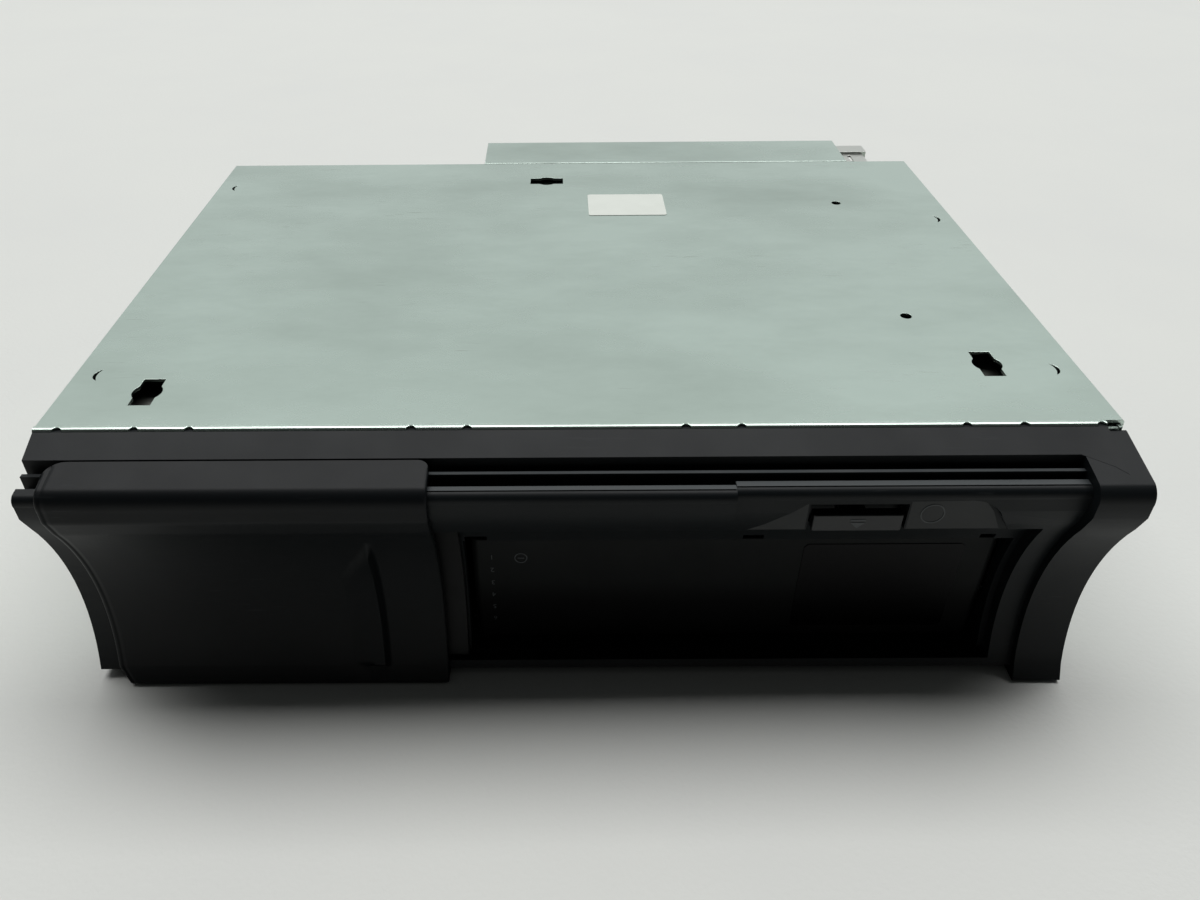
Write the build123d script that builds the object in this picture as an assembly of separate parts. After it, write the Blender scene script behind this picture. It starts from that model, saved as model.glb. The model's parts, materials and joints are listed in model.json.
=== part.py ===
from build123d import *
import math
import os

os.makedirs("parts", exist_ok=True)

# A six-disc changer for a car, lying upside down: the slotted underside faces +Z.
# Millimetres. Origin: centre of the case's resting face. +X runs along the front, left to
# right as seen by someone who faces the door, and +Y runs away from them.

# ---------------------------------------------------------------- driving dimensions
CASE_W = 248.0          # steel case, along X
CASE_D = 170.0          # steel case, along Y
CASE_H = 71.0           # whole height
DISC_D = 120.0
SHEET = 0.8             # case steel
FIT = 0.2               # gap between case sheets that slide together
RUN = 0.3               # gap round a piece that moves

HALF_W = CASE_W / 2
FRONT = -CASE_D / 2
BACK = CASE_D / 2
WALL_X = HALF_W - SHEET             # outer face of the top cover's side walls
INNER_X = WALL_X - SHEET            # inner face of those walls

# bottom plate
FLANGE_H = 10.0
PLATE_BEND_R = 0.6
SLOT_L, SLOT_W, SLOT_BULGE_D = 11.5, 5.3, 7.2
TRANSPORT_SLOTS = [(21.1 - HALF_W, FRONT + 15.7, 90), (HALF_W - 22.2, FRONT + 26.3, 90),
                   (-8.3, BACK - 18.2, 0)]              # x, y, turn
BRACKET_HOLE_D = 3.0
BRACKET_HOLE_X = HALF_W - 34.9
BRACKET_HOLE_PITCH = 78.9
BRACKET_HOLE_Y = 5.45               # middle of the two holes
NOTCH_W, NOTCH_DEPTH = 1.8, 1.0
LIP_H = 3.0                         # turned-down front edge
NOTCH_SHARES = [-0.951, -0.792, -0.678, -0.3, -0.185, 0.202, 0.317, 0.71, 0.812, 0.956]
TAB_SHARES = [-0.735, -0.243, 0.26, 0.761]              # of the half width
NOTCH_X = [share * HALF_W for share in NOTCH_SHARES]
TAB_X = [share * HALF_W for share in TAB_SHARES]
TAB_W, TAB_H = 12.2, 9.0
TAB_WINDOW_W, TAB_WINDOW_H = 8.0, 3.0
TAB_WINDOW_DROP = 5.6
LANCES = [(6.7 - HALF_W, FRONT + 23.5), (6.7 - HALF_W, BACK - 22.7),
          (HALF_W - 6.2, BACK - 54.1), (HALF_W - 7.1, FRONT + 23.6)]
LANCE_L, LANCE_W = 5.0, 1.6
STICKER = (5.8, 31.4, BACK - 49.4, BACK - 31.4)         # x0, x1, y0, y1
STICKER_T = 0.12

# side walls
SIDE_HOLE_D = 4.0
SIDE_HOLE_PITCH = 110.0
SIDE_HOLE_Z = CASE_H - 19.0
NUT_R, NUT_T = 4.0, 1.6
COVER_BEND_R = 1.4
DIAL_D, DIAL_Y, DIAL_Z = 20.0, -20.0, 28.0
DIAL_RIM_D = 23.0

# rear housing and connector
HOUSING_X0, HOUSING_X1 = -31.5, HALF_W - 21.5
HOUSING_D = 23.3
HOUSING_Z0 = 14.0
HOUSING_EAR = 8.0
HOUSING_SCREW_X = HOUSING_X0 - 4.5
HOUSING_SCREW_Z = [HOUSING_Z0 + 10, CASE_H - 11]
CONNECTOR_X0, CONNECTOR_W = HOUSING_X1 + 0.9, 9.2
CONNECTOR_Z0, CONNECTOR_L = CASE_H - 24.0, 21.4
CONNECTOR_WALL = 0.7
CONNECTOR_D = HOUSING_D - 1.2
VENT_COUNT, VENT_PITCH, VENT_W = 8, 8.0, 2.4

# front skin, as depths in front of the case and drops below the top face
CURVE_R = 58.0                      # hollow lower sweep of the front
CURVE_Y, CURVE_Z = -66.7, -45.5     # its centre
DOOR_T = 1.5                        # outer leaf
DOOR_GAP = 0.5                      # outer leaf to bezel
BEZEL_SKIN = 1.4
LEAF_T = 1.4                        # inner leaf
LEAF_GAP = 0.35
LEAF_BACK = 5.5                     # rear wall of the inner leaf's slot, behind the sweep
NOSE_Y = -17.9
FOOT = 0.4 - CASE_H                 # bezel stays a little above the floor
CREASE_Z = -17.5
CURVE_END_Z = 5.0 - CASE_H

# bezel layout along X
END_WALL = 6.0
LEAF_STOP_X = HALF_W - 85.5         # right end of the inner leaf's slot
CHEEK_X = HALF_W - 12.0
SKIN_END = -20.6                    # lower edge of the bezel's upper skin

# doors
OUTER_LEAF_W = 85.0
INNER_LEAF_W = 85.0
OUTER_LEAF_X0 = 6.0 - HALF_W
INNER_LEAF_X0 = 11.0 - HALF_W

# eject button
BUTTON_X0, BUTTON_X1 = HALF_W - 70.8, HALF_W - 50.4
BUTTON_MID = HALF_W - 61.0
BUTTON_TOP, BUTTON_BOTTOM = -16.4, -21.2
BUTTON_TRAVEL = 2.5
BUTTON_T = 2.7
STEM_W, STEM_TOP, STEM_BOTTOM = 6.0, -17.2, -19.5
STEM_END = -0.2                     # depth of the stem's end at rest
SCOOP_Y = -11.9
POCKET_Y, POCKET_WALL_Y = -6.2, -4.5    # floor of the button's pocket, and the back of its wall
EJECT_BOARD_Y = FRONT + 6.0
EJECT_POST_DROP = -25.0

# magazine and trays
FRAME_T = 1.0
FRAME_X0, FRAME_X1 = 7.0 - HALF_W, HALF_W - 16.5
MAG_W = DISC_D + 9.0
MAG_X1 = FRAME_X1 - 4.5
MAG_X0 = MAG_X1 - MAG_W
MAG_Y0, MAG_L = FRONT - 2.6, CASE_D - 22.0
MAG_Z0, MAG_H = 5.5, CASE_H - 37.0
MAG_WALL, MAG_FRONT_WALL, MAG_END_WALL = 1.6, 3.0, 2.4
MAG_Y1 = MAG_Y0 + MAG_L
MAG_IN_X1 = MAG_X1 - MAG_END_WALL
MAG_IN_Y0, MAG_IN_Y1 = MAG_Y0 + MAG_FRONT_WALL, MAG_Y1 - MAG_END_WALL
LABEL_W, LABEL_MARGIN, LABEL_T = 39.4, 8.0, 0.2
TRAY_COUNT = 6
TRAY_PITCH = (MAG_H - 4.0) / TRAY_COUNT
TRAY_T = TRAY_PITCH - 1.4
TRAY_GAP = 0.4
TRAY_Z0 = MAG_Z0 + 2.6              # lowest face of the lowest tray
TRAY_X0, TRAY_X1 = MAG_X0 + TRAY_GAP, MAG_IN_X1 - 1.5 * TRAY_GAP
TRAY_Y0, TRAY_Y1 = MAG_IN_Y0 + TRAY_GAP, MAG_IN_Y1 - TRAY_GAP
DISC_FLOOR = 1.9
LEDGE = 3.0
TRAY_BAY_W = 35.0                   # turntable and clamp pass through it
PICKUP_SLOT_W, PICKUP_SLOT_L = 24.0, 55.0
LUG_W, LUG_L, LUG_GAP = 3.4, 1.8, 2.2
HOOK_BAY = 11.0

# bay that the magazine slides into
FLOOR_Z = 3.4
ROOF_Z = MAG_Z0 + MAG_H + 1.1
OPENING_X0, OPENING_X1 = MAG_X0 - 1.5, MAG_X1 + 1.5
OPENING_TOP, OPENING_BOTTOM = MAG_Z0 + MAG_H + 2 - CASE_H, MAG_Z0 - 0.7 - CASE_H

# floating frame
FRAME_TOP = CASE_H - 6.2            # underside of the frame's base
BASE_T = 1.2
FRAME_Y0, FRAME_Y1 = FRONT + 6.0, BACK - 6.0
EAR_Z = 9.8                         # ears that sit on the dampers
EAR_W = 4.3
DAMPERS = [(FRAME_X0 - 0.2, FRAME_Y0 + 9.0, 4.5), (FRAME_X0 - 0.2, FRAME_Y1 - 5.6, 4.5),
           (FRAME_X1 + 7, FRAME_Y0 + 9.0, 5.5), (FRAME_X1 + 7, FRAME_Y1 - 9.0, 5.5)]
REAR_WALL_X0 = FRAME_X0 + 6.0

# play deck
DECK_Z = FRAME_TOP - 10.8
DECK_T = 1.2
DECK_TOP = DECK_Z + DECK_T
DECK_X0, DECK_X1 = FRAME_X0 + 1.8, MAG_X0 - 3.0
DECK_Y0, DECK_Y1 = FRONT + 35.0, MAG_Y1 - 2.4
DISC_X = DECK_X1 - 14.0             # spindle axis
DISC_Y = (TRAY_Y0 + TRAY_Y1) / 2 + 0.1
DISC_Z = DECK_Z - 5.0               # turntable face
TURNTABLE_R, CONE_R = 12.0, 7.4
SEAT_X = TRAY_X0 + DISC_D / 2 + 2.2     # middle of a disc in a tray at home
TRAY_TRAVEL = SEAT_X - DISC_X           # brings a disc's middle over the spindle
DECK_TRAVEL = DISC_Z - TRAY_Z0 - TRAY_T + DISC_FLOOR    # from parked down to the lowest tray
GUIDE_X, GUIDE_Y = (DECK_X0 + 31.2, DECK_X1 - 7.0), DECK_Y1 + 4.2
SLED_Y0, SLED_L, SLED_TRAVEL = DISC_Y + 16.2, 18.0, 33.0
SLED_ROD_X, SLED_ROD_Z, SLED_ROD_R = (DISC_X - 15.0, DISC_X + 11.2), DECK_Z + 3.8, 1.2
SCREW_X, SCREW_Z, SCREW_R = DISC_X - 23.0, DECK_Z + 4.5, 1.5
SLED_MOTOR_R, SLED_MOTOR_L = 4.9, 22.0
CLAMP_AXIS_X, CLAMP_AXIS_Z = DECK_X0 + 6.2, DECK_Z - 7.5
CLAMP_PLATE_Z, CLAMP_PLATE_T = CLAMP_AXIS_Z - 2.5, 1.0
CLAMP_Y0, CLAMP_Y1 = DISC_Y - 12.0, DISC_Y + 12.0
CLAMP_NECK_R = 4.0
PULLER_X1 = DECK_X1 - 1.2           # puller's right face at rest
PULLER_Y, PULLER_Z, PULLER_ROD_R = MAG_Y1 - 9.4, DECK_Z - 6.0, 1.0
PULLER_REAR = MAG_IN_Y1 - 0.6

# lift
AXLE_R = 1.5
LIFT_PIN_R = 1.5
LIFT_PIN_Y, LIFT_PIN_Z = FRONT + 75.0, DECK_Z + 2.0
CAM_T = 1.2
CAM_X = FRAME_X0 - 1.6
CAM_MARGIN = 6.0
CAM_STUD_Y, CAM_STUD_Z = (LIFT_PIN_Y + 32.0, LIFT_PIN_Y + 49.0), LIFT_PIN_Z - 17.0
RACK_MODULE, PINION_TEETH = 1.0, 16
TRAIN_MODULE, WHEEL_TEETH, IDLER_TEETH, MOTOR_TEETH = 1.0, 26, 18, 12
TRAIN_X, TRAIN_T = FRAME_X0 - 4.6, 1.6
LIFT_AXIS = (LIFT_PIN_Y + 48.0, 18.9)   # y, z
IDLER_ANGLE = -20.0                 # degrees, from the lift gear to the idler
MOTOR_ANGLE = 35.0                  # degrees, from the idler to the motor pinion
MOTOR_R, MOTOR_L = 7.0, 24.0
TONGUE_Y0, TONGUE_Y1 = LIFT_AXIS[0] + 9.0, LIFT_AXIS[0] + 22.5      # strip that carries the lift

# electronics
BOARD_Z, BOARD_T = ROOF_Z + 5.4, 1.6
BOARD_X0, BOARD_X1 = MAG_X0 + 6.0, FRAME_X1 - 9.5
BOARD_Y0, BOARD_Y1 = FRAME_Y0 + 3.0, MAG_Y1 - 10.4
BOARD_ROOM = FRAME_TOP - BOARD_Z - BOARD_T
BOARD_SCREWS = [(x, y) for x in (BOARD_X0 + 6, BOARD_X1 - 6) for y in (BOARD_Y0 + 6, BOARD_Y1 - 6)]


# ---------------------------------------------------------------- small tools
def block(x0, x1, y0, y1, z0, z1):
    """A box between two corners."""
    return Pos((x0 + x1) / 2, (y0 + y1) / 2, (z0 + z1) / 2) * Box(x1 - x0, y1 - y0, z1 - z0)


def rod(axis, start, end, u, v, r):
    """A round bar of radius r along an axis: u and v are its other two coordinates."""
    middle = (start + end) / 2
    length = abs(end - start)
    if axis == "X":
        return Pos(middle, u, v) * Rot(0, 90, 0) * Cylinder(r, length)
    if axis == "Y":
        return Pos(u, middle, v) * Rot(90, 0, 0) * Cylinder(r, length)
    return Pos(u, v, middle) * Cylinder(r, length)


def prism(axis, start, end, u, v, r, sides=6):
    """A bar with flat sides along an axis: u and v are its middle's other two coordinates."""
    turns = [math.tau * (index + 0.5) / sides for index in range(sides)]
    return slab(axis, [(u + r * math.cos(a), v + r * math.sin(a)) for a in turns], start, end)


def place(axis, at, u, v):
    """A point of an outline that lies square to an axis."""
    return {"X": (at, u, v), "Y": (u, at, v), "Z": (u, v, at)}[axis]


def slab(axis, path, start, end):
    """Extrude an outline along an axis. A step is a point, or (middle, end) of an arc."""
    edges = []
    here = path[0]
    for step in list(path[1:]) + [path[0]]:
        arc = isinstance(step[0], tuple)
        there = step[1] if arc else step
        if arc:
            edges.append(ThreePointArc(*[place(axis, start, *p) for p in (here, step[0], there)]))
        elif math.dist(here, there) > 1e-6:
            edges.append(Line(place(axis, start, *here), place(axis, start, *there)))
        here = there
    direction = {"X": (1, 0, 0), "Y": (0, 1, 0), "Z": (0, 0, 1)}[axis]
    return extrude(make_face(edges), amount=end - start, dir=direction)


def long_hole(axis, start, end, a, b, width):
    """A round-ended slot from point a to point b, cut along an axis."""
    run = math.dist(a, b)
    nx, ny = (b[1] - a[1]) / run * width / 2, (a[0] - b[0]) / run * width / 2
    ux, uy = (b[0] - a[0]) / run * width / 2, (b[1] - a[1]) / run * width / 2
    return slab(axis, [
        (a[0] + nx, a[1] + ny),
        ((a[0] - ux, a[1] - uy), (a[0] - nx, a[1] - ny)),
        (b[0] - nx, b[1] - ny),
        ((b[0] + ux, b[1] + uy), (b[0] + nx, b[1] + ny)),
    ], start, end)


def edges_at(shape, axis, value, along=None):
    """Edges whose middle lies at a value of an axis, if asked only those along a direction."""
    found = [e for e in shape.edges() if abs(getattr(e.center(), axis) - value) < 0.01]
    if along:
        found = [e for e in found if e in shape.edges().filter_by(along)]
    return found


def save(name, shape):
    """Write one node, as a single solid or as a group of separate solids."""
    solids = shape.solids() if hasattr(shape, "solids") else Compound(children=shape).solids()
    body = solids[0] if len(solids) == 1 else Compound(children=list(solids))
    export_step(body, f"parts/{name}.step")


def group(shapes):
    """Separate solids that share one node."""
    return Compound(children=[s.solids()[0] if hasattr(s, "solids") else s for s in shapes])


# ---------------------------------------------------------------- front skin
def curve_y(drop, inset):
    """Depth of the hollow sweep at a drop below the top face."""
    return CURVE_Y + math.sqrt((CURVE_R + inset) ** 2 - (drop - CURVE_Z) ** 2)


def to_case(points):
    """From depth and drop to the case's own y and z."""
    moved = []
    for p in points:
        if isinstance(p[0], tuple):
            moved.append(tuple((FRONT + q[0], CASE_H + q[1]) for q in p))
        else:
            moved.append((FRONT + p[0], CASE_H + p[1]))
    return moved


def band_drop(depth):
    """Drop of the sloping band's outer face at a depth."""
    return -1.7 + 0.2125 * (depth + 0.4)


def nose_path(inset, from_depth):
    """The front's outline from the band round the nose to the end of the hollow sweep."""
    lower = math.hypot(1, 0.2125) * inset
    start = (from_depth, band_drop(from_depth) - lower)
    shoulder = (-15.3 + 0.2 * inset, band_drop(-15.3) - 0.98 * inset)
    tip = (NOSE_Y + inset, -9.4)
    return [
        start,
        shoulder,
        ((-17.3 + 0.85 * inset, -6.55 - 0.5 * inset), tip),
        (NOSE_Y + inset, -12.6),
        (curve_y(CREASE_Z, inset), CREASE_Z),
        ((CURVE_Y + CURVE_R + inset, CURVE_Z), (curve_y(CURVE_END_Z, inset), CURVE_END_Z)),
    ]


def back_along(path):
    """The same outline walked the other way."""
    points = [path[0]]
    for step in path[1:]:
        points.append(step[1] if isinstance(step[0], tuple) else step)
    walked = [points[-1]]
    for index in range(len(path) - 1, 0, -1):
        step = path[index]
        if isinstance(step[0], tuple):
            walked.append((step[0], points[index - 1]))
        else:
            walked.append(points[index - 1])
    return walked


def rail_path(nose_back, nose_front, deep):
    """The bezel's outline behind the door: band, groove, rib, groove, nose, sweep, bottom."""
    inset = DOOR_T + DOOR_GAP
    return [
        (0, -1.7), (-0.4, -1.7), (-7.2, band_drop(-7.2)),
        (-7.2, -8.2), (-8.9, -8.2), (-8.9, -5.6), (-10.0, -5.6),
        (-10.0, deep), (nose_back, deep), (nose_back, -6.7), (nose_front, -6.9),
        ((nose_front - 1.2, -7.6), (nose_front - 1.5, -9.6)),
        (nose_front - 1.4, -13.0),
        (curve_y(CREASE_Z, inset), CREASE_Z),
        ((CURVE_Y + CURVE_R + inset, CURVE_Z), (curve_y(FOOT + 2.4, inset), FOOT + 2.4)),
        (-10.4, FOOT + 1.6), (-6.5, FOOT + 1.6), (-6.5, FOOT), (0, FOOT),
    ]


# ---------------------------------------------------------------- case
def bottom_plate():
    plate = block(-HALF_W, HALF_W, FRONT, BACK, CASE_H - SHEET, CASE_H)
    plate = chamfer(edges_at(plate, "Z", CASE_H), PLATE_BEND_R - 0.1)
    for side in (-1, 1):
        x0, x1 = sorted((side * HALF_W, side * WALL_X))
        plate += block(x0, x1, FRONT + 1.5, BACK - 1.5, CASE_H - FLANGE_H, CASE_H - PLATE_BEND_R)
    for x in TAB_X:
        tab = block(x - TAB_W / 2, x + TAB_W / 2, FRONT, FRONT + SHEET,
                    CASE_H - TAB_H, CASE_H - PLATE_BEND_R)
        window_z = CASE_H - TAB_WINDOW_DROP
        tab -= block(x - TAB_WINDOW_W / 2, x + TAB_WINDOW_W / 2, FRONT - 1, FRONT + 2,
                     window_z - TAB_WINDOW_H / 2, window_z + TAB_WINDOW_H / 2)
        plate += tab
    plate += block(FIT - INNER_X, INNER_X - FIT, FRONT, FRONT + SHEET, CASE_H - LIP_H,
                   CASE_H - PLATE_BEND_R)
    for x in NOTCH_X:
        plate -= block(x - NOTCH_W / 2, x + NOTCH_W / 2, FRONT - 1, FRONT + NOTCH_DEPTH,
                       CASE_H - 0.6 * LIP_H, CASE_H + 1)
    for x, y, turn in TRANSPORT_SLOTS:
        cutter = Box(SLOT_L, SLOT_W, 3) + Cylinder(SLOT_BULGE_D / 2, 3)
        plate -= Pos(x, y, CASE_H) * Rot(0, 0, turn) * cutter
    for side in (-1, 1):
        plate -= rod("Z", CASE_H - 2, CASE_H + 1, BRACKET_HOLE_X,
                     BRACKET_HOLE_Y + side * BRACKET_HOLE_PITCH / 2, BRACKET_HOLE_D / 2)
    for x, y in LANCES:
        side = math.copysign(1, x)
        plate -= slab("Z", [
            (x, y - LANCE_L / 2), ((x + side * LANCE_W, y), (x, y + LANCE_L / 2)),
            ((x + side * LANCE_W * 0.45, y), (x, y - LANCE_L / 2)),
        ], CASE_H - 2, CASE_H + 1)
    return plate


def top_cover():
    top = CASE_H - SHEET - FIT
    cover = block(-WALL_X, WALL_X, FRONT + FIT, BACK - SHEET - FIT, 0, top)
    cover = fillet([e for e in edges_at(cover, "Z", 0) if abs(e.center().X) > 1],
                   COVER_BEND_R)
    cover -= block(-INNER_X, INNER_X, FRONT - 1, BACK + 1, SHEET, CASE_H)
    for side in (-1, 1):
        for end in (-1, 1):
            cover -= rod("X", side * (INNER_X - 1), side * (WALL_X + 1),
                         end * SIDE_HOLE_PITCH / 2, SIDE_HOLE_Z, SIDE_HOLE_D / 2)
            x0, x1 = sorted((side * INNER_X, side * (INNER_X - NUT_T)))
            nut = prism("X", x0, x1, end * SIDE_HOLE_PITCH / 2, SIDE_HOLE_Z, NUT_R)
            cover += nut - rod("X", x0 - 1, x1 + 1, end * SIDE_HOLE_PITCH / 2, SIDE_HOLE_Z,
                               SIDE_HOLE_D / 2)
        cover -= rod("X", side * (INNER_X - 1), side * (WALL_X + 1), DIAL_Y, DIAL_Z,
                     DIAL_D / 2 + FIT)
    return cover


def rear_panel():
    x = INNER_X - FIT
    panel = block(-x, x, BACK - SHEET, BACK, SHEET + 0.1, CASE_H - SHEET - 0.1)
    for side in (-1, 1):
        x0, x1 = sorted((side * x, side * (x - SHEET)))
        panel += block(x0, x1, BACK - 6.5, BACK - SHEET, 6, CASE_H - 8)
    # cable port into the housing, vents, screw holes
    panel -= block(20, 40, BACK - 2, BACK + 1, HOUSING_Z0 + 16, HOUSING_Z0 + 30)
    for index in range(VENT_COUNT):
        vent_x = 14 - HALF_W + index * VENT_PITCH
        panel -= block(vent_x, vent_x + VENT_W, BACK - 2, BACK + 1, 20, 50)
    for z in HOUSING_SCREW_Z:
        panel -= prism("Y", BACK - 2, BACK + 1, HOUSING_SCREW_X, z, 1.5, 12)
    return panel


def rear_housing():
    outer = block(HOUSING_X0, HOUSING_X1, BACK, BACK + HOUSING_D, HOUSING_Z0, CASE_H)
    outer = fillet(edges_at(outer, "Y", BACK + HOUSING_D), PLATE_BEND_R)
    outer -= block(HOUSING_X0 + SHEET, HOUSING_X1 - SHEET, BACK - 1, BACK + HOUSING_D - SHEET,
                   HOUSING_Z0 + SHEET, CASE_H - SHEET)
    ear = block(HOUSING_X0 - HOUSING_EAR, HOUSING_X0 + SHEET / 2, BACK, BACK + SHEET,
                HOUSING_Z0, CASE_H - 4)
    for z in HOUSING_SCREW_Z:
        ear -= prism("Y", BACK - 1, BACK + 2, HOUSING_SCREW_X, z, 1.5, 12)
    return outer + ear


def connector_shell():
    x0, x1 = CONNECTOR_X0, CONNECTOR_X0 + CONNECTOR_W
    z0, z1 = CONNECTOR_Z0, CONNECTOR_Z0 + CONNECTOR_L
    wall = CONNECTOR_WALL
    mouth = BACK + CONNECTOR_D
    shell = block(x0, x1, BACK, mouth, z0, z1)
    shell += block(x0 - 0.6, x1 + 1.4, mouth - 7, mouth, z0 - 0.8, z1 + 0.8)
    shell -= block(x0 + wall, x1 - wall, BACK + 1, mouth + 1, z0 + wall, z1 - wall)
    shell -= block(x0 + 3.0, x0 + 4.2, BACK + 2, mouth - 9, z1 - 1, z1 + 1)
    return shell


def connector_insert():
    wall = CONNECTOR_WALL
    return block(CONNECTOR_X0 + wall, CONNECTOR_X0 + CONNECTOR_W - wall, BACK + 1, BACK + 9,
                 CONNECTOR_Z0 + wall, CONNECTOR_Z0 + CONNECTOR_L - wall)


def connector_pins():
    pins = []
    for row in range(2):
        for index in range(6):
            x = CONNECTOR_X0 + 3.0 + row * 3.2
            z = CONNECTOR_Z0 + 3.5 + index * 2.9
            pins.append(block(x - 0.4, x + 0.4, BACK + 9, BACK + 15, z - 0.4, z + 0.4))
    return group(pins)


def case_screws():
    screws = []
    for z in HOUSING_SCREW_Z:
        head = prism("Y", BACK + SHEET, BACK + SHEET + 1.8, HOUSING_SCREW_X, z, 2.8)
        shank = prism("Y", BACK - 5, BACK + SHEET, HOUSING_SCREW_X, z, 1.3, 12)
        screws.append(head + shank)
    return group(screws)


def angle_dial(side):
    """Turned with a coin to suit how the unit is mounted."""
    rim = prism("X", side * (WALL_X + 0.1), side * HALF_W, DIAL_Y, DIAL_Z, DIAL_RIM_D / 2, 24)
    core = prism("X", side * (INNER_X - 0.1), side * (WALL_X + 0.1), DIAL_Y, DIAL_Z, DIAL_D / 2, 12)
    catch = prism("X", side * (INNER_X - 0.9), side * (INNER_X - 0.1), DIAL_Y, DIAL_Z,
                  DIAL_RIM_D / 2 - 0.6, 12)
    x0, x1 = sorted((side * (HALF_W - 0.5), side * (HALF_W + 1)))
    return rim + core + catch - block(x0, x1, DIAL_Y - 1, DIAL_Y + 1, DIAL_Z - 7, DIAL_Z + 7)


# ---------------------------------------------------------------- bezel and doors
def leaf_slot(x0, x1):
    """The slot that the inner leaf runs in, open upwards into the second groove."""
    front = DOOR_T + DOOR_GAP + BEZEL_SKIN
    bottom = CURVE_END_Z - 1.2
    return slab("X", to_case([
        (-12.8, -9.0), (curve_y(-18, front), -18),
        ((curve_y(-42, front), -42), (curve_y(bottom, front), bottom)),
        (curve_y(bottom, LEAF_BACK), bottom),
        ((curve_y(-42, LEAF_BACK), -42), (curve_y(-18, LEAF_BACK), -18)),
        (-10.0, -9.0),
    ]), x0, x1)


def window(x0, x1):
    """All that lies in front of the leaf slot's rear wall, below the bezel's upper skin."""
    return slab("X", to_case([
        (-25, SKIN_END), (curve_y(SKIN_END, LEAF_BACK), SKIN_END),
        ((curve_y(-44, LEAF_BACK), -44), (curve_y(OPENING_BOTTOM, LEAF_BACK), OPENING_BOTTOM)),
        (-25, OPENING_BOTTOM),
    ]), x0, x1)


def back_hollow(x0, x1):
    """The moulding's open back behind the nose."""
    inset = LEAF_BACK + 1.5
    bottom = OPENING_TOP + 2
    return slab("X", to_case([
        (1, -10), (-8.2, -10), (-8.2, -17.2),
        ((curve_y(-22, inset), -22), (curve_y(bottom, inset), bottom)), (1, bottom),
    ]), x0, x1)


def front_bezel():
    left_rail = to_case(rail_path(-12.8, -14.4, -9.5))
    right_rail = to_case(rail_path(-11.5, -13.4, -8.6))
    bezel = slab("X", left_rail, 0.3 - HALF_W, LEAF_STOP_X - 4)
    bezel += slab("X", right_rail, LEAF_STOP_X - 4, CHEEK_X)
    lip = [(-14.6, FOOT + 0.6), (-14.2, FOOT), (0, FOOT), (0, -1.7)]
    cheek = slab("X", to_case(nose_path(0, -0.4) + lip), CHEEK_X, HALF_W)
    inner = nose_path(2.0, -2.4) + [(-9.0, FOOT + 2.4), (1, FOOT + 2.4), (1, -4.5)]
    cheek -= slab("X", to_case(inner), CHEEK_X + 2.0, HALF_W - 2.0)
    bezel += cheek
    bezel -= leaf_slot(END_WALL - HALF_W, LEAF_STOP_X)
    bezel -= window(END_WALL + 2 - HALF_W, OPENING_X1 + 1.5)
    opening_z0, opening_z1 = CASE_H + OPENING_BOTTOM, CASE_H + OPENING_TOP
    bezel -= block(OPENING_X0, OPENING_X1, FRONT - 30, FRONT + 1, opening_z0, opening_z1)
    bezel -= back_hollow(END_WALL + 2 - HALF_W, LEAF_STOP_X - 2)
    bezel -= back_hollow(LEAF_STOP_X + 2, BUTTON_X0 - 4)
    bezel -= back_hollow(BUTTON_X1 + 4, CHEEK_X - 2)
    bezel -= block(BUTTON_X0 - 2.6, BUTTON_X1 + 2.6, FRONT + POCKET_WALL_Y, FRONT + 1,
                   opening_z1 + 2, CASE_H - 10)
    # notches in the opening's upper edge, over the magazine's ends and its middle
    for x, width in ((OPENING_X0 + 0.5, 5.3), (LEAF_STOP_X + 1, 5.0), (OPENING_X1 - 8.5, 3.6)):
        bezel -= block(x, x + width, FRONT - 12, FRONT + 1, opening_z1 - 1, opening_z1 + 1.8)
    # finger scoop round the button
    x0, x1 = BUTTON_X0 - 15.6, BUTTON_X1 + 24.4
    low = CASE_H + SKIN_END - 0.1
    bezel -= slab("Y", [
        (x0, low), (x0 + 13, CASE_H - 10.4), (x1 - 11.6, CASE_H - 9.8),
        ((x1 - 6.4, CASE_H - 11.6), (x1 - 3.6, CASE_H - 15.2)), (x1, low),
    ], FRONT - 25, FRONT + SCOOP_Y)
    # button pocket, stem hole
    bezel -= block(BUTTON_X0 - 1.2, BUTTON_X1 + 0.6, FRONT - 20, FRONT + POCKET_Y,
                   CASE_H + BUTTON_BOTTOM - 0.4, CASE_H + BUTTON_TOP + 3.2)
    bezel -= block(BUTTON_MID - STEM_W / 2 - RUN, BUTTON_MID + STEM_W / 2 + RUN, FRONT - 12,
                   FRONT + POCKET_WALL_Y + 0.5, CASE_H + STEM_BOTTOM - RUN,
                   CASE_H + STEM_TOP + RUN)
    # hooks for the plate's tabs
    hook_top = CASE_H - TAB_WINDOW_DROP + 1.0
    for x in TAB_X:
        hook = block(x - 3.6, x + 3.6, FRONT - 1, FRONT + 2.4, hook_top - 2, hook_top)
        barb = slab("X", [(FRONT + SHEET + 0.1, hook_top), (FRONT + SHEET + 0.1, hook_top + 0.35),
                          (FRONT + 2.4, hook_top)], x - 3.6, x + 3.6)
        bezel += hook + barb
    # posts for the eject board
    for x in (BUTTON_X0 - 0.7, BUTTON_X1 + 0.9):
        bezel += prism("Y", FRONT + POCKET_WALL_Y - 0.1, EJECT_BOARD_Y, x,
                       CASE_H + EJECT_POST_DROP, 1.8)
    return bezel


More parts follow.
